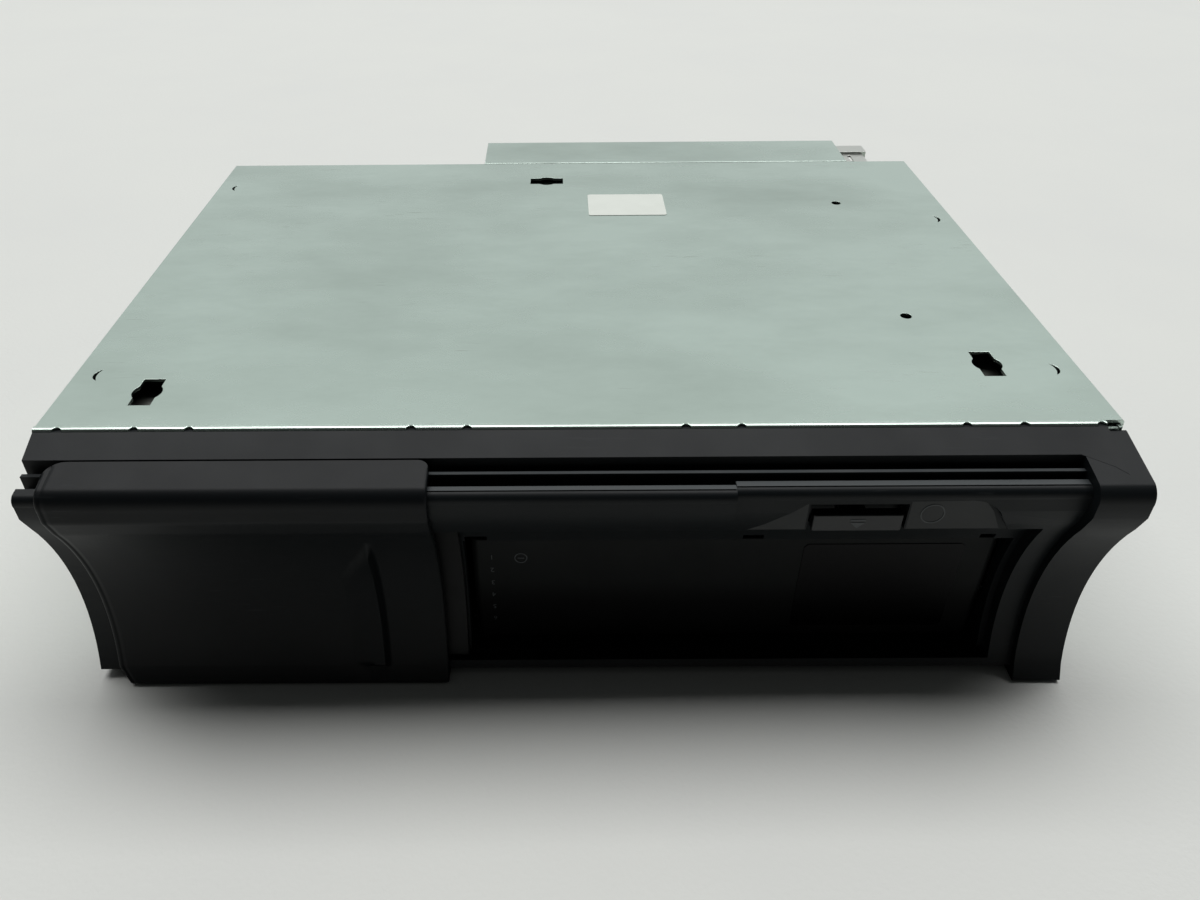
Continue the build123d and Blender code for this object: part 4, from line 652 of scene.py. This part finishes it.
# ------------------------------------------------------------------ studio
@dataclass
class Studio:
    """Camera, pale floor and an overcast sky."""

    camera_at_mm: tuple[float, float, float] = (-3.9, -258.7, 193.4)
    pitch_deg: float = 36.61
    yaw_deg: float = -0.32
    roll_deg: float = -0.52
    lens_mm: float = 28.236
    shift: tuple[float, float] = (0.03625, 0.0008)
    floor_colour: str = "#d3d4d0"
    floor_half_m: float = 3.0
    sky_from: tuple[float, float, float] = (0.0, 0.97, 0.24)
    sky_bright: float = 0.72
    sky_dark: float = 0.03
    lamp_watts: float = 190.0
    lamp_size_m: tuple[float, float] = (5.9, 2.3)
    lamp_away_m: float = 4.0
    lamp_rise_deg: float = 73.0

    def build(self) -> None:
        """Makes the camera, the floor and the lamps."""
        self._camera()
        self._floor()
        self._light()

    def _camera(self) -> None:
        """The camera's axes from its pitch, yaw and roll: forward, then right, then up."""
        p, yaw, roll = (math.radians(a) for a in (self.pitch_deg, self.yaw_deg, self.roll_deg))
        forward = Vector((math.sin(yaw) * math.cos(p), math.cos(yaw) * math.cos(p), -math.sin(p)))
        right = Vector((math.cos(yaw), -math.sin(yaw), 0.0))
        up = right.cross(forward)
        turned = right * math.cos(roll) + up * math.sin(roll)
        raised = up * math.cos(roll) - right * math.sin(roll)
        camera = bpy.data.cameras.new("camera")
        camera.lens = self.lens_mm
        camera.sensor_width = 36.0
        camera.shift_x, camera.shift_y = self.shift
        camera.clip_start = 0.01
        holder = bpy.data.objects.new("camera", camera)
        axes = Matrix((turned, raised, -forward)).transposed().to_4x4()
        place = Matrix.Translation(Vector(self.camera_at_mm) * MM)
        holder.matrix_world = place @ axes
        bpy.context.scene.collection.objects.link(holder)
        bpy.context.scene.camera = holder

    def _floor(self) -> None:
        """A flat pale sheet a hair under the object."""
        h = self.floor_half_m
        mesh = bpy.data.meshes.new("floor")
        mesh.from_pydata([(-h, -h, 0), (h, -h, 0), (h, h, 0), (-h, h, 0)], [], [(0, 1, 2, 3)])
        floor = bpy.data.objects.new("floor", mesh)
        bpy.context.scene.collection.objects.link(floor)
        finish = Finish(
            "pale_foam_sheet", self.floor_colour, "#cfd0ce", 0.75, Grain.SPARK,
            mottle_mm=120.0, mottle=0.4, grit_mm=1.6, relief_mm=0.12,
        )
        mesh.materials.append(finish.build())

    def _light(self) -> None:
        """A wide lamp high behind the object, and a sky that is dark on the camera's side."""
        lamp = bpy.data.lights.new("ceiling_window", "AREA")
        lamp.energy = self.lamp_watts
        lamp.shape = "RECTANGLE"
        lamp.size, lamp.size_y = self.lamp_size_m
        holder = bpy.data.objects.new("ceiling_window", lamp)
        rise = math.radians(self.lamp_rise_deg)
        towards = Vector((0.0, math.cos(rise), math.sin(rise)))
        holder.location = towards * self.lamp_away_m
        holder.rotation_euler = towards.to_track_quat("Z", "Y").to_euler()
        bpy.context.scene.collection.objects.link(holder)
        world = bpy.data.worlds.new("studio_sky")
        bpy.context.scene.world = world
        world.use_nodes = True
        tree = world.node_tree
        outward = add_node(tree, "ShaderNodeTexCoord").outputs["Generated"]
        share = add_node(tree, "ShaderNodeVectorMath", {"operation": "DOT_PRODUCT"}, {
            0: outward, 1: self.sky_from,
        }).outputs["Value"]
        strength = add_node(tree, "ShaderNodeMapRange", {"interpolation_type": "SMOOTHSTEP"}, {
            "Value": share, "From Min": 0.0, "From Max": 0.9, "To Min": self.sky_dark,
            "To Max": self.sky_bright,
        }).outputs["Result"]
        background = tree.nodes["Background"]
        background.inputs["Color"].default_value = hex_linear("#f4f9f8")
        tree.links.new(strength, background.inputs["Strength"])
        bpy.context.scene.view_settings.view_transform = "Standard"


# ------------------------------------------------------------------ the object
@dataclass
class Case:
    """Steel case: slotted underside, cover, rear panel and housing."""

    sheet_edge_mm: float = 0.22
    blank_edge_mm: float = 0.12

    def build(self, shop: Workshop) -> None:
        """Dresses the steel case.

        Args:
            shop: the workshop that holds the frame.
        """
        for node in ("bottom_plate", "top_cover", "rear_panel", "rear_housing"):
            piece = shop.edged(node, self.sheet_edge_mm)
            if node == "bottom_plate":
                RolledEdge().build(shop, piece)
        shop.edged("connector_shell", self.blank_edge_mm)
        for node in ("blank_sticker", "connector_insert", "connector_pins", "case_screws",
                     "angle_dial_left", "angle_dial_right"):
            shop.painted(node)


@dataclass
class RolledEdge:
    """The plate's front edge, rolled down, with half-round reliefs; and the band below it.

    Depths run back from the plate's front edge and drops run down from its top face.
    """

    sheet_mm: float = 0.8
    roll_mm: float = 1.0
    flat_mm: float = 1.6
    hem_mm: float = 1.15
    relief_radius_mm: float = 1.1
    relief_x_mm: tuple[float, ...] = (
        -118.3, -100.8, -88.2, -37.8, -25.1, 24.5, 37.1, 88.0, 101.0, 118.4,
    )
    gaps_x_mm: tuple[tuple[float, float], ...] = ((-123.8, -118.3), (-100.8, -88.2))
    band_crest_mm: float = 0.6
    band_foot: tuple[float, float] = (-7.18, -3.1)
    cheek_foot: tuple[float, float] = (-14.6, -4.66)
    cheek_x_mm: float = 112.0

    def build(self, shop: Workshop, plate: bpy.types.Object) -> None:
        """Cuts the plate's plain edge away and fits the rolled one, the band and its lugs.

        Args:
            shop: the workshop that holds the frame.
            plate: the dressed plate.
        """
        low, high = (Vector(corner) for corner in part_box("bottom_plate"))
        left, front, right, top = low.x / MM, low.y / MM, high.x / MM, high.z / MM
        shop.notched(
            plate,
            Vector(((left - 1) * MM, (front - 1) * MM, (top - self.hem_mm) * MM)),
            Vector(((right + 1) * MM, (front + self.flat_mm) * MM, (top + 1) * MM)),
        )
        plate.data.polygons.foreach_set("use_smooth", [True] * len(plate.data.polygons))
        plate.data.set_sharp_from_angle(angle=math.radians(28))
        shop.fit("rolled_edge", self._strip(left, front, right, top), "galvanised",
                 "bottom_plate", replaced=True)
        shop.fit("band_facing", self._band(left, front, right, top), "bezel", "front_bezel")
        shop.fit("relief_lugs", self._lugs(front, top), "bezel", "front_bezel")

    def _stations(self, left: float, right: float) -> np.ndarray:
        """Places along X: the ends, an even pitch, and dense rows across each relief."""
        r = self.relief_radius_mm
        rows = [np.linspace(left + 0.1, right - 0.1, 40)]
        rows += [x + r * np.sin(np.linspace(-math.pi / 2, math.pi / 2, 13)) for x in self.relief_x_mm]
        rows += [np.array([a, a + 0.02, b - 0.02, b]) for a, b in self.gaps_x_mm]
        places = np.unique(np.concatenate(rows).round(4))
        return places[(places >= left + 0.1) & (places <= right - 0.1)]

    def _strip(self, left: float, front: float, right: float, top: float) -> bpy.types.Mesh:
        """The rolled edge: flat, quarter round and hem, cut back along a circle at each relief."""
        quarter = np.linspace(math.pi / 2, math.pi, 9)
        roll, inner = self.roll_mm, self.roll_mm - self.sheet_mm
        outer_arc = np.stack([roll + roll * np.cos(quarter), -roll + roll * np.sin(quarter)], -1)
        inner_arc = np.stack([roll + inner * np.cos(quarter), -roll + inner * np.sin(quarter)], -1)
        profile = np.concatenate([
            [(self.flat_mm, 0.0)], outer_arc, [(0.0, -self.hem_mm)],
            [(self.sheet_mm, -self.hem_mm)], inner_arc[::-1], [(self.flat_mm, -self.sheet_mm)],
        ])
        places = self._stations(left, right)
        depth = np.broadcast_to(profile[:, 0], (len(places), len(profile))).copy()
        drop = np.broadcast_to(profile[:, 1], depth.shape).copy()
        for x in self.relief_x_mm:
            reach = np.sqrt(np.clip(self.relief_radius_mm ** 2 - (places - x) ** 2, 0, None))
            cut = depth < reach[:, None]
            gone = cut & (reach[:, None] > self.sheet_mm)
            depth = np.where(cut, reach[:, None], depth)
            drop = np.where(gone, np.maximum(drop, -self.sheet_mm), drop)
        for start, end in self.gaps_x_mm:
            inside = ((places > start + 0.01) & (places < end - 0.01))[:, None]
            drop = np.where(inside, np.maximum(drop, -0.8), drop)
        across = np.broadcast_to(places[:, None], depth.shape)
        return ring_solid("rolled_edge", np.stack([across, front + depth, top + drop], -1))

    def _band(self, left: float, front: float, right: float, top: float) -> bpy.types.Mesh:
        """The band's crest up to the rolled edge: a thin wedge whose foot runs out on the cheek."""
        places = self._stations(left, right)
        share = soft_step((places - self.cheek_x_mm) / (right - self.cheek_x_mm - 1.0))[:, None]
        foot = np.array(self.band_foot) * (1 - share) + np.array(self.cheek_foot) * share
        crest = np.full(len(places), -self.band_crest_mm)
        rows = 7
        along = np.linspace(0.0, 1.0, rows)[None, :]
        upper_y = -0.06 + (foot[:, :1] + 0.06) * along
        upper_z = crest[:, None] + (foot[:, 1:] - crest[:, None]) * along
        lower_y, lower_z = upper_y[:, ::-1], -1.78 + 0.2125 * (upper_y[:, ::-1] + 0.4)
        lower_z = np.minimum(lower_z, upper_z[:, ::-1] - 0.02)
        depth = np.concatenate([upper_y, lower_y], axis=1)
        drop = np.concatenate([upper_z, lower_z], axis=1)
        across = np.broadcast_to(places[:, None], depth.shape).copy()
        across = np.clip(across, left + 0.32, right - 0.1)
        return ring_solid("band_facing", np.stack([across, front + depth, top + drop], -1))

    def _lugs(self, front: float, top: float) -> bpy.types.Mesh:
        """A low half disc of the bezel in each relief."""
        turn = np.linspace(0, math.pi, 13)
        r = self.relief_radius_mm - 0.05
        parts = []
        for x in self.relief_x_mm:
            outline = np.stack([x + r * np.cos(turn), front - 0.05 + r * np.sin(turn)], -1)
            parts.append(prism_mesh("lug", outline, 2, top - 1.2, top - 0.62))
        return joined("relief_lugs", parts)


@dataclass
class OuterDoor:
    """The outer leaf: the nose and the hollow sweep carried along X, with its grip and rim.

    Depths run back from the plate's front edge and drops run down from its top face.
    """

    wall_mm: float = 1.5
    start_depth_mm: float = -7.6
    slope: float = 0.2125
    sweep_radius_mm: float = 58.0
    sweep_centre: tuple[float, float] = (-66.7, -45.5)
    sweep_top: float = -17.5
    sweep_bottom: float = -66.0
    nose_depth: float = -17.9
    foot_drop: float = -70.6
    corner_left_mm: float = 4.5
    corner_right_mm: float = 2.6
    end_round_mm: float = 0.9
    rim_mm: float = 0.9
    rim_groove_mm: float = 0.22
    heel_cut_mm: float = 3.2
    grip_from_right: tuple[float, float, float] = (24.1, 15.8, 14.6)
    grip_height_mm: float = 2.1
    grip_tops: tuple[float, float] = (-35.0, -22.5)

    def build(self, shop: Workshop) -> None:
        """Fits the leaf in the place of its CAD node."""
        low, high = (Vector(corner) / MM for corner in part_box("outer_door"))
        plate_low, plate_high = (Vector(corner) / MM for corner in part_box("bottom_plate"))
        mesh = self._leaf(low.x, high.x, plate_low.y, plate_high.z)
        piece = shop.fit("outer_leaf", mesh, "door", "outer_door", replaced=True)
        bevel = piece.modifiers.new("edge_radius", "BEVEL")
        bevel.width = 0.2 * MM
        bevel.segments = 2
        bevel.limit_method = "ANGLE"
        bevel.angle_limit = math.radians(50)

    def _outline(self, inset: float, from_depth: float, counts: tuple[int, ...]) -> np.ndarray:
        """Depth and drop down the front: band slope, shoulder arc, nose, crease, hollow arc."""
        drop_at = lambda depth: -1.7 + self.slope * (depth + 0.4)
        lower = math.hypot(1, self.slope) * inset
        nose = self.nose_depth + inset
        shoulder = (-15.3 + 0.2 * inset, drop_at(-15.3) - 0.98 * inset)
        cy, cz = self.sweep_centre
        radius = self.sweep_radius_mm + inset
        rise = np.linspace(self.sweep_top, self.sweep_bottom, counts[4])
        crease = cy + math.sqrt(radius ** 2 - (self.sweep_top - cz) ** 2)
        return np.concatenate([
            line((from_depth, drop_at(from_depth) - lower), shoulder, counts[0]),
            arc(shoulder, (-17.3 + 0.85 * inset, -6.55 - 0.5 * inset), (nose, -9.4), counts[1]),
            line((nose, -9.4), (nose, -12.6), counts[2])[1:],
            line((nose, -12.6), (crease, self.sweep_top), counts[3]),
            np.stack([cy + np.sqrt(radius ** 2 - (rise - cz) ** 2), rise], -1),
        ])

    def _leaf(self, x0: float, x1: float, front: float, top: float) -> bpy.types.Mesh:
        """Carries the outline along X; insets round the ends, and a wedge swells the grip."""
        counts = (12, 14, 5, 7, 80)
        outer = self._outline(0.0, self.start_depth_mm, counts)
        lip = np.array([
            (-14.5, -69.7), (-14.3, -70.3), (-13.8, self.foot_drop), (-7.2, self.foot_drop),
            (-7.2, -69.5), (-12.2, -69.5), (-12.6, -69.0),
        ])
        inner = self._outline(self.wall_mm, self.start_depth_mm, (4, 8, 2, 3, 16))[::-1]
        ring = np.concatenate([outer, lip, inner])
        count = len(outer) + 3
        ahead, behind = np.roll(ring, -1, 0), np.roll(ring, 1, 0)
        tangent = ahead - behind
        inward = np.stack([-tangent[:, 1], tangent[:, 0]], -1)
        inward /= np.linalg.norm(inward, axis=1)[:, None]
        inward *= np.where(inward[:, :1] < 0, -1.0, 1.0)
        shows = (np.arange(len(ring)) < count).astype(float)
        ends = np.array([0, .04, .12, .25, .4, .6, .8, .95, 1.05, 1.25, 1.5, 2, 2.6, 3.4, 4.5, 6])
        grip = x1 - np.array(self.grip_from_right)
        places = np.unique(np.concatenate([
            x0 + ends, x1 - ends, np.linspace(x0 + 6, x1 - 6, 24),
            np.linspace(grip[0] - 0.5, grip[2] + 0.5, 36),
        ]).round(4))
        gap = np.minimum(places - x0, x1 - places)
        # rounded ends: inset r - sqrt(r^2 - (r - t)^2) at a distance t from the end
        r = self.end_round_mm
        inset = r - np.sqrt(r * r - np.clip(r - gap, 0, r) ** 2)
        from_left = places - x0
        groove = np.exp(-(((from_left - self.rim_mm - 0.5) / 0.28) ** 2)) * self.rim_groove_mm
        inset = inset * 0.6 + groove
        # the grip: a slope that rises to the right and falls away steeply
        rise = np.clip((places - grip[0]) / (grip[1] - grip[0]), 0, 1) ** 1.2
        fall = np.clip((grip[2] - places) / (grip[2] - grip[1]), 0, 1)
        wedge = np.minimum(rise, 1.0) * fall * self.grip_height_mm
        crown = self.grip_tops[0] + (self.grip_tops[1] - self.grip_tops[0]) * rise
        drops = ring[None, :, 1]
        window = soft_step((crown[:, None] - drops) / 5.0) * soft_step(
            (drops - self.sweep_bottom) / 1.2)
        offset = (inset[:, None] - wedge[:, None] * window) * shows[None, :]
        depth = ring[None, :, 0] + inward[None, :, 0] * offset
        drop = ring[None, :, 1] + inward[None, :, 1] * offset
        # rounded corners beside the band: the outline starts further forward near each end
        for distance, corner in ((from_left, self.corner_left_mm), (x1 - places, self.corner_right_mm)):
            back = corner - np.sqrt(corner ** 2 - np.clip(corner - distance, 0, corner) ** 2)
            limit = (self.start_depth_mm - back)[:, None]
            late = depth > limit
            top_part = drops > -6.5
            moved = late & top_part & (back[:, None] > 0)
            depth = np.where(moved, limit, depth)
            drop = np.where(moved & (shows[None, :] > 0), -1.7 + self.slope * (limit + 0.4), drop)
            drop = np.where(moved & (shows[None, :] < 1),
                            -1.7 + self.slope * (limit + 0.4) - self.wall_mm, drop)
        across = np.broadcast_to(places[:, None], depth.shape).copy()
        # the lip's left end is cut off slantwise
        heel = self.heel_cut_mm * np.clip((self.sweep_bottom - drop) / 4.6, 0, 1)
        share = np.clip((x0 + 12 - across) / 12, 0, 1)
        across += heel * share
        return ring_solid("outer_leaf", np.stack([across, front + depth, top + drop], -1), 40)


@dataclass
class FrontMarks:
    """Small moulded features: rubbed rail tops, scoop faces, mould circle, eject sign, numbers, all drawn lighter
    with painted light.
    """

    rib_depths: tuple[float, float] = (-9.0, -9.9)
    rib_drop: float = -5.57
    nose_tops: tuple[tuple[float, float, float, float, float], ...] = (
        (-117.6, 34.4, -12.9, -14.3, -6.62), (34.6, 111.8, -11.6, -13.3, -6.62),
    )
    scoop_depth: float = -11.9
    button_x: tuple[float, float] = (53.2, 73.6)
    button_drops: tuple[float, float] = (-16.4, -21.2)
    scoop_left: tuple[tuple[float, float], ...] = ((37.8, -20.4), (50.8, -10.6), (51.6, -10.6), (51.6, -20.4))
    scoop_right: tuple[tuple[float, float], ...] = (
        (74.6, -20.4), (74.6, -10.2), (86.2, -10.0), (90.4, -11.6), (93.4, -15.4), (95.8, -20.4),
    )
    circle: tuple[float, float, float] = (79.8, -16.0, 2.75)
    magazine_face_y: float = -87.6
    magazine_circle: tuple[float, float, float] = (-13.9, 33.4, 1.6)
    number_x: float = -20.6
    number_z: tuple[float, float] = (34.4, 13.0)
    number_height: float = 1.5

    def build(self, shop: Workshop) -> None:
        """Fits the small features to the bezel, the button and the magazine."""
        low, high = (Vector(corner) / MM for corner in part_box("bottom_plate"))
        front, top = low.y, high.z
        tops = [self._flat(-117.6, 111.8, front, top, *self.rib_depths, self.rib_drop)]
        tops += [self._flat(x0, x1, front, top, a, b, d) for x0, x1, a, b, d in self.nose_tops]
        # rail tops: rubbed, with a painted highlight
        shop.fit("rail_tops", joined("rail_tops", tops), "bezel", "front_bezel", RUBBED_HIGHLIT_ABS)
        face = front + self.scoop_depth
        skins = []
        for outline in (self.scoop_left, self.scoop_right):
            points = np.array([(x, top + drop) for x, drop in outline])
            skins.append(prism_mesh("scoop_skin", points, 1, face - 0.04, face + 0.02))
        # scoop faces: lighter with painted light
        shop.fit("scoop_faces", joined("scoop_faces", skins), "bezel", "front_bezel", SCOOP_PAINTED_LIGHT_ABS)
        x, drop, radius = self.circle
        shop.fit("mould_circle", ring_mark("mould_circle", x, top + drop, face - 0.04, radius, 0.28),
                 "bezel", "front_bezel", MARK_PAINTED_HIGHLIGHT)
        shop.fit("eject_sign", self._eject_sign(face, top), "button", "eject_button", MARK_PAINTED_HIGHLIGHT)
        x, z, radius = self.magazine_circle
        marks = [ring_mark("ring", x, z, self.magazine_face_y, radius, 0.22)]
        bar = np.array([(x - 0.8, z - 0.12), (x + 0.8, z - 0.12), (x + 0.8, z + 0.12),
                        (x - 0.8, z + 0.12)])
        marks.append(prism_mesh("bar", bar, 1, self.magazine_face_y - 0.08, self.magazine_face_y))
        shop.fit("magazine_mark", joined("magazine_mark", marks), "magazine", "magazine_shell",
                 MARK_PAINTED_HIGHLIGHT)
        shop.fit("slot_numbers", self._numbers(), "magazine", "magazine_shell", MARK_PAINTED_HIGHLIGHT)

    def _flat(self, x0: float, x1: float, front: float, top: float, back: float, ahead: float,
              drop: float) -> bpy.types.Mesh:
        """A thin strip on the top of a rail, where the door has rubbed it; its lighter grey is partly painted
        highlight.
        """
        outline = np.array([(front + back, top + drop), (front + ahead, top + drop),
                            (front + ahead, top + drop - 0.05), (front + back, top + drop - 0.05)])
        return prism_mesh("strip", outline, 0, x0, x1)

    def _eject_sign(self, face: float, top: float) -> bpy.types.Mesh:
        """A plain eject sign, a triangle and a bar, the other way up as the unit lies."""
        x = sum(self.button_x) / 2
        z = top + sum(self.button_drops) / 2
        triangle = np.array([(x - 1.7, z + 0.3), (x + 1.7, z + 0.3), (x, z - 1.4)])
        bar = np.array([(x - 1.7, z + 0.7), (x + 1.7, z + 0.7), (x + 1.7, z + 1.2), (x - 1.7, z + 1.2)])
        return joined("eject_sign", [
            prism_mesh("sign", points, 1, face - 0.1, face + 0.05) for points in (triangle, bar)
        ])

    def _numbers(self) -> bpy.types.Mesh:
        """The plain numbers 1 to 6 beside the tray slots, the other way up as the unit lies."""
        parts = []
        drops = np.linspace(self.number_z[0], self.number_z[1], 6)
        for index, z in enumerate(drops):
            curve = bpy.data.curves.new("digit", "FONT")
            curve.body = str(index + 1)
            curve.size = self.number_height * MM * 1.4
            curve.extrude = 0.04 * MM
            curve.resolution_u = 2
            holder = bpy.data.objects.new("digit", curve)
            mesh = bpy.data.meshes.new_from_object(holder)
            stand = Matrix.Rotation(math.radians(90), 4, "X")
            over = Matrix.Rotation(math.pi, 4, "Y")
            place = Vector((self.number_x * MM, (self.magazine_face_y - 0.02) * MM, z * MM))
            mesh.transform(Matrix.Translation(place) @ over @ stand)
            bpy.data.objects.remove(holder)
            parts.append(mesh)
        return joined("slot_numbers", parts)


@dataclass
class MouldedFront:
    """The bezel, the two door leaves and the eject button."""

    bezel_edge_mm: float = 0.35

    def build(self, shop: Workshop) -> None:
        """Dresses the moulded front.

        Args:
            shop: the workshop that holds the frame.
        """
        shop.edged("front_bezel", self.bezel_edge_mm)
        OuterDoor().build(shop)
        FrontMarks().build(shop)
        shop.edged("inner_door", 0.25)
        shop.edged("eject_button", 0.3)


@dataclass
class Magazine:
    """The magazine, its blank label and its trays."""

    trays: int = 6

    def build(self, shop: Workshop) -> None:
        """Dresses the magazine.

        Args:
            shop: the workshop that holds the frame.
        """
        shop.edged("magazine_shell", 0.25)
        shop.painted("magazine_label")
        for index in range(self.trays):
            shop.edged(f"tray_{index + 1}", 0.2)


@dataclass
class Inside:
    """All that the closed case holds: frame, lift, play deck and boards."""

    def build(self, shop: Workshop) -> None:
        """Gives every inner node that is still bare its material.

        Args:
            shop: the workshop that holds the frame.
        """
        for name, obj in sorted(shop.frame["nodes"].items()):
            if not obj.hide_render and name not in ("blank_sticker", "magazine_label"):
                shop.painted(name)


def main() -> None:
    """Builds the studio and each part of the object in order."""
    logging.basicConfig(level=logging.INFO, format="%(name)s: %(message)s")
    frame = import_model()
    shop = Workshop(frame)
    Studio().build()
    Case().build(shop)
    MouldedFront().build(shop)
    Magazine().build(shop)
    Inside().build(shop)
    bpy.context.view_layer.update()


if __name__ == "__main__":
    main()
